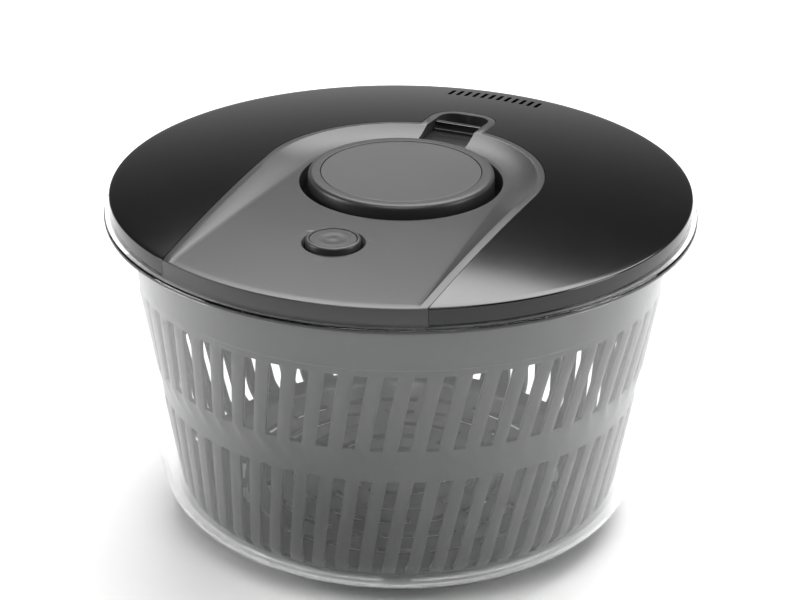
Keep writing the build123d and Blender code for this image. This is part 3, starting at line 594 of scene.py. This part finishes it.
vent_cutters = []
for i in range(VENT_COUNT):
    x = (i - (VENT_COUNT - 1) / 2) * VENT_PITCH
    y_out = math.sqrt(VENT_OUT_R ** 2 - x ** 2)
    vent_cutters.append(prism("vent", slot_outline(x, y_out, VENT_L, VENT_W), EDGE_Z - 6, EDGE_Z + 12))
cut(lid_shell, join(vent_cutters[0], vent_cutters[1:]))
place(lid_shell, "lid", "lid_shell", "lid_gloss")

# %% [markdown]
# ## The sunken panel
# The panel runs from the front of the lid to a round end behind the knob. A flat land lies level
# with the crown, and a hollow slope drops from it to a floor that is flatter than the crown, so the
# slope fades to a point at the front corners. One grid of faces follows the horseshoe of that
# outline, and each row is laid at its own height. That keeps the rows parallel to the edges that
# catch the light.

# %% Rows across the panel
SLOPE_SHARES = (0.985, 0.95, 0.88, 0.78, 0.66, 0.54, 0.42, 0.3, 0.19, 0.09, 0.02, 0.0)
FLOOR_SHARES = (0.96, 0.88, 0.76, 0.62, 0.48, 0.34, 0.2, 0.1, 0.0)
EDGE_EASE = 0.3
EDGE_DROP = 0.08
EDGE_SWELL = 1.0006
SLOPE_EASY = 0.42
SLOPE_CURVE = 2.2

outer_side = right_side(PANEL_FRONT, PANEL_R, (EAR_HALF, EAR_END, EAR_ROUND))
inner_side = right_side(PANEL_FRONT - EDGE_EASE, PANEL_R - EDGE_EASE,
                        (EAR_HALF - EDGE_EASE, EAR_END - EDGE_EASE, EAR_ROUND - EDGE_EASE))
crease_side = right_side(FRAME_FRONT, FRAME_R)
floor_side = right_side(FRAME_FRONT - 0.01, FLOOR_R)


def slope_lift(share):
    """Height share of the hollow slope: easy at the floor, steeper towards the crease."""
    return SLOPE_EASY * share + (1 - SLOPE_EASY) * share ** SLOPE_CURVE


def narrowed(side, share):
    """A half outline drawn in towards the middle line, its front end kept on the lid's edge."""
    front_x, front_y = side[0]
    rim_y = -math.sqrt(LID_R ** 2 - (front_x * share) ** 2)
    stretch = rim_y / front_y
    return [(x * share, y * (1 + (stretch - 1) * (y / front_y)) if y < 0 else y * share) for x, y in side]


def panel_rows():
    """Every row of the panel's top, from its outer edge to its middle line, as right halves."""
    made = [[(x, y, crown_z(x, y) - EDGE_EASE) for x, y in outer_side]]
    between = [((a[0] + b[0]) / 2 * EDGE_SWELL, (a[1] + b[1]) / 2) for a, b in zip(outer_side, inner_side)]
    made.append([(x, y, crown_z(x, y) - EDGE_DROP) for x, y in between])
    made.append([(x, y, crown_z(x, y)) for x, y in inner_side])
    made.append([(x, y, crown_z(x, y)) for x, y in crease_side])
    for share in SLOPE_SHARES:
        row = []
        for (cx, cy), (fx, fy) in zip(crease_side, floor_side):
            x, y = fx + (cx - fx) * share, fy + (cy - fy) * share
            base = floor_z(x, y)
            row.append((x, y, base + (crown_z(x, y) - base) * slope_lift(share)))
        made.append(row)
    for share in FLOOR_SHARES:
        made.append([(x, y, floor_z(x, y)) for x, y in narrowed(floor_side, share)])
    return made


half_rows = panel_rows()
whole_rows = [right + [(-x, y, z) for x, y, z in right[-2::-1]] for right in half_rows]
print("panel rows:", len(whole_rows), "places along each:", len(whole_rows[0]))


# %% Lay the grid
FRONT_EASE = 0.8


def pull_to_rim(x, y, z):
    """Keeps a place inside the lid's rounded front edge."""
    r = math.hypot(x, y)
    limit = LID_R - FRONT_EASE
    if r <= limit:
        return x, y, z
    return x * limit / r, y * limit / r, z


begin()
per_row = len(whole_rows[0])
bpy.ops.mesh.primitive_grid_add(x_subdivisions=per_row - 1, y_subdivisions=len(whole_rows) - 1, size=MM)
panel = bpy.context.object
for index, vertex in enumerate(panel.data.vertices):
    spot = whole_rows[index // per_row][index % per_row]
    vertex.co = Vector(pull_to_rim(*spot)) * MM
bpy.context.tool_settings.mesh_select_mode = (True, False, False)
bpy.ops.object.mode_set(mode="EDIT")
bpy.ops.mesh.select_all(action="SELECT")
bpy.ops.mesh.remove_doubles(threshold=2e-6)
bpy.ops.mesh.normals_make_consistent(inside=False)

# %% Draw the panel down to a thick body
bpy.ops.mesh.select_all(action="DESELECT")
bpy.ops.mesh.select_mode(type="EDGE")
bpy.ops.mesh.select_non_manifold(extend=False, use_wire=False, use_multi_face=False,
                                 use_non_contiguous=False, use_verts=False)
FRONT_STEPS = ((0.45, 0.12), (0.27, 0.27), (0.08, 0.41))


def on_rim(point):
    return math.hypot(point.x, point.y) > (LID_R - 1.5) * MM and point.y < 0


for outwards, down in FRONT_STEPS:
    bpy.ops.mesh.extrude_edges_move(TRANSFORM_OT_translate={"value": (0, 0, -down * MM)})
    bpy.ops.object.mode_set(mode="OBJECT")
    for vertex in panel.data.vertices:
        if vertex.select and on_rim(vertex.co):
            away = Vector((vertex.co.x, vertex.co.y, 0)).normalized() * outwards * MM
            vertex.co += away
    bpy.ops.object.mode_set(mode="EDIT")
bpy.ops.mesh.extrude_edges_move(TRANSFORM_OT_translate={"value": (0, 0, -EDGE_Z * MM / 2)})
bpy.ops.mesh.edge_face_add()
bpy.ops.object.mode_set(mode="OBJECT")
for vertex in panel.data.vertices:
    if vertex.select:
        vertex.co.z = SKIRT_Z * MM
bpy.ops.object.mode_set(mode="EDIT")
close_up(panel, "satin_panel")
print("panel faces:", len(panel.data.polygons))

# %% Hollow the body and open its holes
COVER_Z = foot_of("inner_cover") + 5.3
CAVITY_TOP = 157.1
BUTTON_HOLE_R = 12.5
BUTTON_BEVEL = 1.4
POCKET_HALF = 12.0
POCKET_END = 83.5
POCKET_ROUND = 7.0
POCKET_FLOOR = 159.5
POCKET_START = 30
RAIL_END = 79.6
RAIL_DEPTH = 1.3
RAIL_TALL = 2.1


def hole(name, radius, mouth_z, flare, low, centre=(0.0, 0.0), ease=0.25):
    """A round cutter whose mouth widens into a bevel, with eased edges."""
    wide = radius + flare
    profile = [(0, low), (radius, low), (radius, mouth_z - flare - ease),
               (radius + ease * 0.3, mouth_z - flare), (wide, mouth_z),
               (wide + ease * 0.6, mouth_z + ease * 0.5), (wide + ease * 2, mouth_z + ease),
               (wide + ease * 2, mouth_z + 12), (0, mouth_z + 12)]
    return spun(name, profile, steps=128, centre=centre)


inside_r = LID_R - SKIN
cavity = [(0, SKIRT_Z - 3), (0, COVER_Z), (FLOOR_R, COVER_Z), (FLOOR_R, CAVITY_TOP), (inside_r, CAVITY_TOP),
          (inside_r, SKIRT_Z - 3)]
cut(panel, spun("cavity", cavity, steps=LID_STEPS))
cut(panel, hole("well", WELL_R, floor_z(WELL_R, 0), 0.35, SKIRT_Z - 2, ease=0.2))
button_mouth = floor_z(*BUTTON_AT)
cut(panel, hole("button_hole", BUTTON_HOLE_R, button_mouth, BUTTON_BEVEL, SKIRT_Z - 2, centre=BUTTON_AT))
pocket_right = [(0, POCKET_START), (POCKET_HALF, POCKET_START)]
pocket_right += ear_path(POCKET_HALF, POCKET_END, POCKET_ROUND, 40, EAR_STEPS)
pocket = pocket_right + [(-x, y) for x, y in pocket_right[-2:0:-1]]
cut(panel, prism("pocket", pocket, POCKET_FLOOR, EDGE_Z + 20))
rail_low = POCKET_FLOOR + 0.02
rail_half = POCKET_HALF + RAIL_DEPTH
rails = block("rails", (-rail_half, POCKET_START, rail_low), (rail_half, RAIL_END, rail_low + RAIL_TALL),
              rounding=0.05)
cut(panel, rails)
place(panel, "lid", "lid_panel", "panel_satin")

# %% [markdown]
# ## The pump knob
# The knob is a deep cup turned upside down. Its top edge is generously rounded, and a shallow
# dished disc is let into the top, a hair smaller than its seat, so a fine line shows round it.

# %% Spin the knob and its disc
KNOB_FOOT = foot_of("knob_cap")
INLAY_R = reach_of("knob_inlay")
INLAY_FOOT = foot_of("knob_inlay")
INLAY_DROP = 0.17
INLAY_DISH = 0.5
KNOB_WALL = 2.2
DISH_RINGS = 14
DISH_SHARE = 0.97
DISH_LAND = 0.985
DISH_CURVE = 2.4
DISH_EASE = 0.3
seat_r = INLAY_R + SEAM
knob_under = INLAY_FOOT - KNOB_WALL
knob_profile = eased([(KNOB_R, KNOB_FOOT, 0.4), (KNOB_R, KNOB_TOP, 2.6), (seat_r, KNOB_TOP, 0.35),
                      (seat_r, INLAY_FOOT, 0), (0, INLAY_FOOT, 0), (0, knob_under, 0),
                      (KNOB_R - KNOB_WALL, knob_under, 0.8), (KNOB_R - KNOB_WALL, KNOB_FOOT, 0.3)], steps=7)
start = knob_profile.index((0, knob_under))
knob = spun("pump_knob", knob_profile[start:] + knob_profile[:start], steps=192)
place(knob, "knob", "knob_cap", "knob_matt")


def dished(radius, foot, rim, depth):
    """Closed section of a disc with a shallow dish in its top."""
    dish = []
    for k in range(DISH_RINGS + 1):
        share = k / DISH_RINGS
        dish.append((radius * DISH_SHARE * share, rim - depth * (1 - share ** DISH_CURVE)))
    edge = [(radius * DISH_LAND, rim, 0), (radius, rim, DISH_EASE), (radius, foot, 0), (0, foot, 0)]
    return dish + eased(edge)[1:]


knob_disc = spun("knob_disc", dished(INLAY_R, INLAY_FOOT, KNOB_TOP - INLAY_DROP, INLAY_DISH), steps=192)
place(knob_disc, "knob", "knob_inlay", "inlay_soft")

# %% [markdown]
# ## The stop button
# The button is a small rounded ring with a soft cap let into it. The cap rises and falls in two
# very shallow waves, which give it the soft rings of light.

# %% Spin the button and its cap
BUTTON_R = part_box("stop_button")[1].x / MM
BUTTON_FOOT = foot_of("stop_button")
CAP_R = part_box("button_inlay")[1].x / MM
CAP_FOOT = foot_of("button_inlay")
RING_WALL = 1.2
cap_seat = CAP_R + SEAM
web = CAP_FOOT - RING_WALL
ring_profile = eased([(BUTTON_R, BUTTON_FOOT, 0), (BUTTON_R, BUTTON_TOP, 1.1), (cap_seat, BUTTON_TOP, 0.3),
                      (cap_seat, CAP_FOOT, 0), (0, CAP_FOOT, 0), (0, web, 0), (BUTTON_R - RING_WALL, web, 0),
                      (BUTTON_R - RING_WALL, BUTTON_FOOT, 0)], steps=6)
start = ring_profile.index((0, web))
button = spun("stop_ring", ring_profile[start:] + ring_profile[:start], steps=96, centre=BUTTON_AT)
place(button, "button", "stop_button", "knob_matt")
CAP_RINGS = 24
CAP_WAVE = 0.09
CAP_DROP = 0.34
CAP_EDGE_DROP = 0.3
cap_top = []
for k in range(CAP_RINGS + 1):
    share = k / CAP_RINGS
    wave = CAP_WAVE * math.cos(share * math.tau * 1.5)
    z = BUTTON_TOP - CAP_DROP + wave * (1 - share * 0.4) + 0.08 * share ** 4
    cap_top.append((CAP_R * 0.95 * share, z))
cap_edge = [cap_top[-1] + (0,), (CAP_R, BUTTON_TOP - CAP_EDGE_DROP, 0.3), (CAP_R, CAP_FOOT, 0),
            (0, CAP_FOOT, 0)]
cap_profile = cap_top + eased(cap_edge)[1:]
cap = spun("stop_cap", cap_profile, steps=96, centre=BUTTON_AT)
place(cap, "button", "button_inlay", "button_soft")

# %% [markdown]
# ## The lock slider
# The slider is a thin plate in the pocket with an upright finger ridge. The ridge is scooped in
# front, so a finger can pull it, and a low ledge runs in front of the scoop.

# %% Build the slider from rounded blocks
slide_low, slide_high = (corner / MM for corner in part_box("lock_slider"))
PLATE_T = 1.8
RIDGE_Y = 70.2
RIDGE_T = 2.2
TONGUE_HALF = 8
SCOOP_R = 3.2
ridge_half = POCKET_HALF - 0.5
deck = slide_low.z + PLATE_T
slider = block("lock_slide", (slide_low.x, WELL_R + 0.2, slide_low.z), (slide_high.x, slide_high.y, deck),
               rounding=0.25)
tongue_block = block("slide_tongue", (-TONGUE_HALF, slide_low.y, slide_low.z),
                     (TONGUE_HALF, WELL_R + 2, deck), rounding=0.25)
ledge = block("slide_ledge", (-ridge_half, RIDGE_Y - 4.0, deck - 0.6), (ridge_half, RIDGE_Y, deck + 1.2),
              rounding=0.3)
ridge = block("slide_ridge", (-ridge_half, RIDGE_Y - RIDGE_T / 2 - 1.2, deck - 0.6),
              (ridge_half, RIDGE_Y + RIDGE_T / 2, slide_high.z), rounding=0.8)
begin()
scoop_at = (0, (RIDGE_Y - 4.1) * MM, (slide_high.z - 0.6 - 1.6) * MM)
bpy.ops.mesh.primitive_cylinder_add(vertices=64, radius=SCOOP_R * MM, depth=40 * MM,
                                    rotation=(0, math.pi / 2, 0), location=scoop_at)
scoop = bpy.context.object
bpy.ops.object.transform_apply(location=True, rotation=True, scale=True)
cut(ridge, scoop)
join(slider, [tongue_block, ledge, ridge])
bpy.ops.object.shade_smooth_by_angle(angle=SMOOTH_ANGLE)
place(slider, "slider", "lock_slider", "slider_black")

# %% [markdown]
# ## Finishes
# Each finish is built from nodes that follow the object's own coordinates, in metres, so the grain
# has its true size and stays put from every side. A small class wraps a socket, so that sums on a
# pattern read as ordinary Python.

# %% Sums on sockets
class Field:
    """A value that changes over a surface, with ordinary arithmetic."""

    def __init__(self, paint, socket):
        self.paint = paint
        self.socket = socket

    def sum(self, operation, other, swap=False):
        pair = (other, self) if swap else (self, other)
        settings = {"operation": operation}
        return self.paint.node("ShaderNodeMath", settings, {0: pair[0], 1: pair[1]})

    def __add__(self, other):
        return self.sum("ADD", other)

    def __radd__(self, other):
        return self.sum("ADD", other, True)

    def __sub__(self, other):
        return self.sum("SUBTRACT", other)

    def __rsub__(self, other):
        return self.sum("SUBTRACT", other, True)

    def __mul__(self, other):
        return self.sum("MULTIPLY", other)

    def __rmul__(self, other):
        return self.sum("MULTIPLY", other, True)


class Paint:
    """One finish: a material whose nodes are added as they are needed."""

    def __init__(self, name):
        self.material = bpy.data.materials.new(name)
        self.material.use_nodes = True
        self.tree = self.material.node_tree
        self.tree.nodes.clear()
        self.output = self.tree.nodes.new("ShaderNodeOutputMaterial")
        coordinates = self.tree.nodes.new("ShaderNodeTexCoord")
        self.place = Field(self, coordinates.outputs["Object"])

    def node(self, kind, settings=None, inputs=None, out=0):
        made = self.tree.nodes.new(kind)
        for key, value in (settings or {}).items():
            setattr(made, key, value)
        for key, value in (inputs or {}).items():
            if isinstance(value, Field):
                self.tree.links.new(value.socket, made.inputs[key])
            else:
                made.inputs[key].default_value = value
        return Field(self, made.outputs[out])

    def noise(self, scale, detail=2.0, rough=0.5, stretch=None):
        where = self.place
        if stretch:
            where = self.node("ShaderNodeMapping", None, {"Vector": where, "Scale": stretch})
        return self.node("ShaderNodeTexNoise", None,
                         {"Vector": where, "Scale": scale, "Detail": detail, "Roughness": rough})

    def cells(self, scale):
        return self.node("ShaderNodeTexVoronoi", None, {"Vector": self.place, "Scale": scale})

    def between(self, field, low, high):
        """Stretches a pattern so that it runs from 0 to 1 between two of its values."""
        return self.node("ShaderNodeMapRange", {"clamp": True},
                         {"Value": field, "From Min": low, "From Max": high})

    def blend(self, share, first, second):
        """Mixes two colours by a pattern."""
        settings = {"data_type": "RGBA", "blend_type": "MIX"}
        return self.node("ShaderNodeMix", settings, {0: share, 6: first, 7: second}, out=2)

    def bump(self, height, strength, distance):
        return self.node("ShaderNodeBump", None,
                         {"Height": height, "Strength": strength, "Distance": distance})

    def edges(self):
        """1 along sharp outer edges and 0 on the flats."""
        point = self.tree.nodes.new("ShaderNodeNewGeometry")
        return self.between(Field(self, point.outputs["Pointiness"]), 0.52, 0.6)

    def shader(self, **sockets):
        """The surface itself. Underscores in the names stand for spaces."""
        names = {key.replace("_", " "): value for key, value in sockets.items()}
        return self.node("ShaderNodeBsdfPrincipled", None, names)

    def finish(self, surface):
        self.tree.links.new(surface.socket, self.output.inputs["Surface"])
        return self.material


def grey(value, warm=0.0):
    return (value * (1 + warm), value, value * (1 - warm), 1.0)


# %% [markdown]
# ## Moulded plastics
# Nearly every piece is a moulded plastic, and what tells them apart is how fine the grain of the
# mould is and how much it spreads the light. One recipe makes them all: a faint cloudiness in the
# colour, a grain that is felt as bump and roughness, and edges that are rubbed a little smoother
# and lighter.

# %% One recipe for plastics
def plastic(name, tone, rough, grain=2600.0, grain_depth=0.00002, cloud=0.12, wear=0.25, spec=0.5,
            warm=0.0, sheen=0.0):
    """A moulded plastic of a given darkness, roughness and grain."""
    paint = Paint(name)
    broad = paint.noise(28.0, 3.0)
    fine = paint.noise(grain, 2.0, 0.6)
    pits = paint.cells(grain * 0.6)
    mottled = broad * 0.7 + fine * 0.3
    base = paint.blend(mottled, grey(tone * (1 - cloud), warm), grey(tone * (1 + cloud), warm))
    worn = paint.edges() * wear
    base = paint.blend(worn, base, grey(min(tone * 2.2 + 0.02, 0.9), warm))
    roughness = rough * (1 + (fine - 0.5) * 0.35 + (broad - 0.5) * 0.25) - worn * (rough * 0.3)
    height = fine * 0.7 + pits * 0.3
    normal = paint.bump(height, 0.35, grain_depth)
    sockets = {"Base_Color": base, "Roughness": roughness, "Normal": normal, "IOR": 1.5,
               "Specular_IOR_Level": spec}
    if sheen:
        sockets.update({"Sheen_Weight": sheen, "Sheen_Roughness": 0.4})
    return paint.finish(paint.shader(**sockets))


finishes = {
    "lid_gloss": plastic("lid_gloss", 0.003, 0.13, grain=900, grain_depth=0.000002, wear=0.12, spec=0.42),
    "panel_satin": plastic("panel_satin", 0.02, 0.33, grain=3200, grain_depth=0.00003, wear=0.3),
    "knob_matt": plastic("knob_matt", 0.014, 0.42, grain=3600, grain_depth=0.00003, wear=0.3),
    "inlay_soft": plastic("inlay_soft", 0.032, 0.42, grain=3800, grain_depth=0.00003, wear=0.1),
    "button_soft": plastic("button_soft", 0.022, 0.36, grain=3000, grain_depth=0.00002, wear=0.1),
    "basket_grey": plastic("basket_grey", 0.016, 0.36, grain=2400, grain_depth=0.000008, wear=0.2),
    "inner_plastic": plastic("inner_plastic", 0.06, 0.45, grain=2400, grain_depth=0.00003, wear=0.2),
    "slider_black": plastic("slider_black", 0.01, 0.2, grain=1600, grain_depth=0.000006, wear=0.2),
    "foot_rubber": plastic("foot_rubber", 0.04, 0.7, grain=1800, grain_depth=0.00005, wear=0.15, sheen=0.2),
    "brake_rubber": plastic("brake_rubber", 0.03, 0.75, grain=1800, grain_depth=0.00005, wear=0.15,
                            sheen=0.2),
    "seal_silicone": plastic("seal_silicone", 0.3, 0.5, grain=1500, grain_depth=0.00002, wear=0.1, sheen=0.1),
    "acetal": plastic("acetal", 0.72, 0.4, grain=1800, grain_depth=0.00001, wear=0.1, warm=0.02),
}
print("plastics:", len(finishes))


# %% [markdown]
# ## Metals
# The springs are drawn wire and the screws are plated. Both have fine lines along their length,
# where the die or the polishing left them, and a faint smudge that changes their tone.

# %% Metals
def metal(name, tone, rough, stretch):
    paint = Paint(name)
    lines = paint.noise(900.0, 3.0, 0.6, stretch)
    smudge = paint.noise(60.0, 2.0)
    base = paint.blend(smudge, grey(tone * 0.82), grey(tone))
    roughness = rough * (0.75 + lines * 0.5) + smudge * 0.06
    normal = paint.bump(lines, 0.3, 0.00001)
    return paint.finish(paint.shader(Base_Color=base, Roughness=roughness, Normal=normal, Metallic=1.0))


finishes["spring_steel"] = metal("spring_steel", 0.6, 0.3, (1, 1, 12))
finishes["steel"] = metal("steel", 0.66, 0.26, (1, 1, 6))


# %% [markdown]
# ## Clear plastic
# The bowl is colourless. Light passes through it and bends in the wall, so the rim, the foot and
# the sides show grey and bright lines without any paint. A trace of haze and some very shallow flow
# marks keep it from looking like air.

# %% Clear plastic
def clear(name):
    paint = Paint(name)
    flow = paint.noise(9.0, 2.0, 0.4, (1, 1, 0.3))
    dust = paint.between(paint.noise(1400.0, 1.0), 0.62, 0.8)
    base = paint.blend(dust, (0.985, 0.99, 0.99, 1), (0.93, 0.935, 0.935, 1))
    normal = paint.bump(flow, 0.2, 0.0003)
    roughness = 0.01 + dust * 0.05
    return paint.finish(paint.shader(Base_Color=base, Roughness=roughness, Normal=normal, IOR=1.49,
                                     Transmission_Weight=1.0))


finishes["clear_bowl"] = clear("clear_bowl")

# %% Give every piece its finish
slots = {row["node"]: row["material_slot"] for row in frame["record"]["subparts"]}
for name, node in frame["nodes"].items():
    node.data.materials.clear()
    node.data.materials.append(finishes[slots[name]])
for piece in list(bpy.data.objects):
    if piece.type == "MESH" and "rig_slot" in piece:
        piece.data.materials.clear()
        piece.data.materials.append(finishes[piece["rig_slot"]])
print("finishes:", sorted(finishes))

# %% [markdown]
# ## Studio
# The object stands on a plain pale floor under large soft lights. A dark polished lid shows nothing
# but what it mirrors, so a broad soft box stands high behind it, and the air itself glows low down
# at the back.

# %% Floor and light
begin()
bpy.ops.mesh.primitive_plane_add(size=14.0, location=(0, 0, 0))
floor = bpy.context.object
floor.name = "studio_floor"
bpy.ops.object.mode_set(mode="EDIT")
bpy.ops.mesh.subdivide(number_cuts=3)
bpy.ops.object.mode_set(mode="OBJECT")
ground = Paint("studio_floor")
mottle = ground.noise(3.0, 2.0)
ground_tone = ground.blend(mottle, grey(0.86), grey(0.9))
floor.data.materials.append(ground.finish(ground.shader(Base_Color=ground_tone, Roughness=0.8,
                                                        Specular_IOR_Level=0.1)))


def soft_box(name, place_at, aim, size, power):
    """A large soft light at a place, turned towards another."""
    data = bpy.data.lights.new(name, "AREA")
    data.shape = "RECTANGLE"
    data.size, data.size_y = size
    data.energy = power
    light = bpy.data.objects.new(name, data)
    bpy.context.scene.collection.objects.link(light)
    light.location = place_at
    light.rotation_euler = (Vector(aim) - Vector(place_at)).to_track_quat("-Z", "Y").to_euler()


heart = (0, 0, 0.1)
soft_box("overhead_back", (0.0, 1.1, 2.0), heart, (2.6, 1.7), 95)
soft_box("overhead_front", (0.5, -1.3, 2.2), heart, (2.0, 1.4), 40)
soft_box("left_side", (-1.5, -0.75, 0.45), heart, (0.7, 0.8), 18)
soft_box("right_side", (1.6, 0.2, 0.45), heart, (0.6, 0.8), 12)


class Air(Paint):
    """The light that comes from all round the studio."""

    def __init__(self, name):
        self.material = bpy.data.worlds.new(name)
        bpy.context.scene.world = self.material
        self.material.use_nodes = True
        self.tree = self.material.node_tree
        self.tree.nodes.clear()
        self.output = self.tree.nodes.new("ShaderNodeOutputWorld")
        self.place = Field(self, self.tree.nodes.new("ShaderNodeTexCoord").outputs["Generated"])


AIR_FLOOR = 0.06
AIR_GLOW = 0.75
air = Air("studio_air")
height = air.node("ShaderNodeSeparateXYZ", None, {"Vector": air.place}, out="Z")
depth = air.node("ShaderNodeSeparateXYZ", None, {"Vector": air.place}, out="Y")
low_down = 1 - air.between(height, 0.05, 0.5)
behind = air.between(depth, -0.7, 0.5)
brightness = AIR_FLOOR + low_down * low_down * behind * AIR_GLOW
air.finish(air.node("ShaderNodeBackground", None, {"Color": grey(1.0), "Strength": brightness}))

# %% [markdown]
# ## Camera
# The camera stands in front of the stop button, a little to its right and a little over a metre
# away, and looks down on the lid.

# %% Camera
CAMERA_TURN = math.radians(22.5)
CAMERA_RISE = math.radians(22.35)
CAMERA_FAR = 1.2
LOOK_DOWN = math.radians(24.808)
CAMERA_ROLL = math.radians(0.535)
SENSOR_W = 36.0
LENS = 119.9
edge_middle = Vector((0, 0, EDGE_Z * MM))
level = math.cos(CAMERA_RISE)
towards = Vector((math.sin(CAMERA_TURN) * level, -math.cos(CAMERA_TURN) * level, math.sin(CAMERA_RISE)))
lens_data = bpy.data.cameras.new("camera")
lens_data.sensor_width = SENSOR_W
lens_data.lens = LENS
camera = bpy.data.objects.new("camera", lens_data)
bpy.context.scene.collection.objects.link(camera)
camera.location = edge_middle + towards * CAMERA_FAR
ahead = Vector((-math.sin(CAMERA_TURN) * math.cos(LOOK_DOWN), math.cos(CAMERA_TURN) * math.cos(LOOK_DOWN),
                -math.sin(LOOK_DOWN)))
right = ahead.cross(Vector((0, 0, 1))).normalized()
above = right.cross(ahead)
right_rolled = right * math.cos(CAMERA_ROLL) + above * math.sin(CAMERA_ROLL)
above_rolled = above * math.cos(CAMERA_ROLL) - right * math.sin(CAMERA_ROLL)
camera.rotation_mode = "QUATERNION"
camera.rotation_quaternion = Matrix((right_rolled, above_rolled, -ahead)).transposed().to_quaternion()
bpy.context.scene.camera = camera
bpy.context.scene.view_settings.view_transform = "Standard"
print("camera at", [round(v, 3) for v in camera.location])
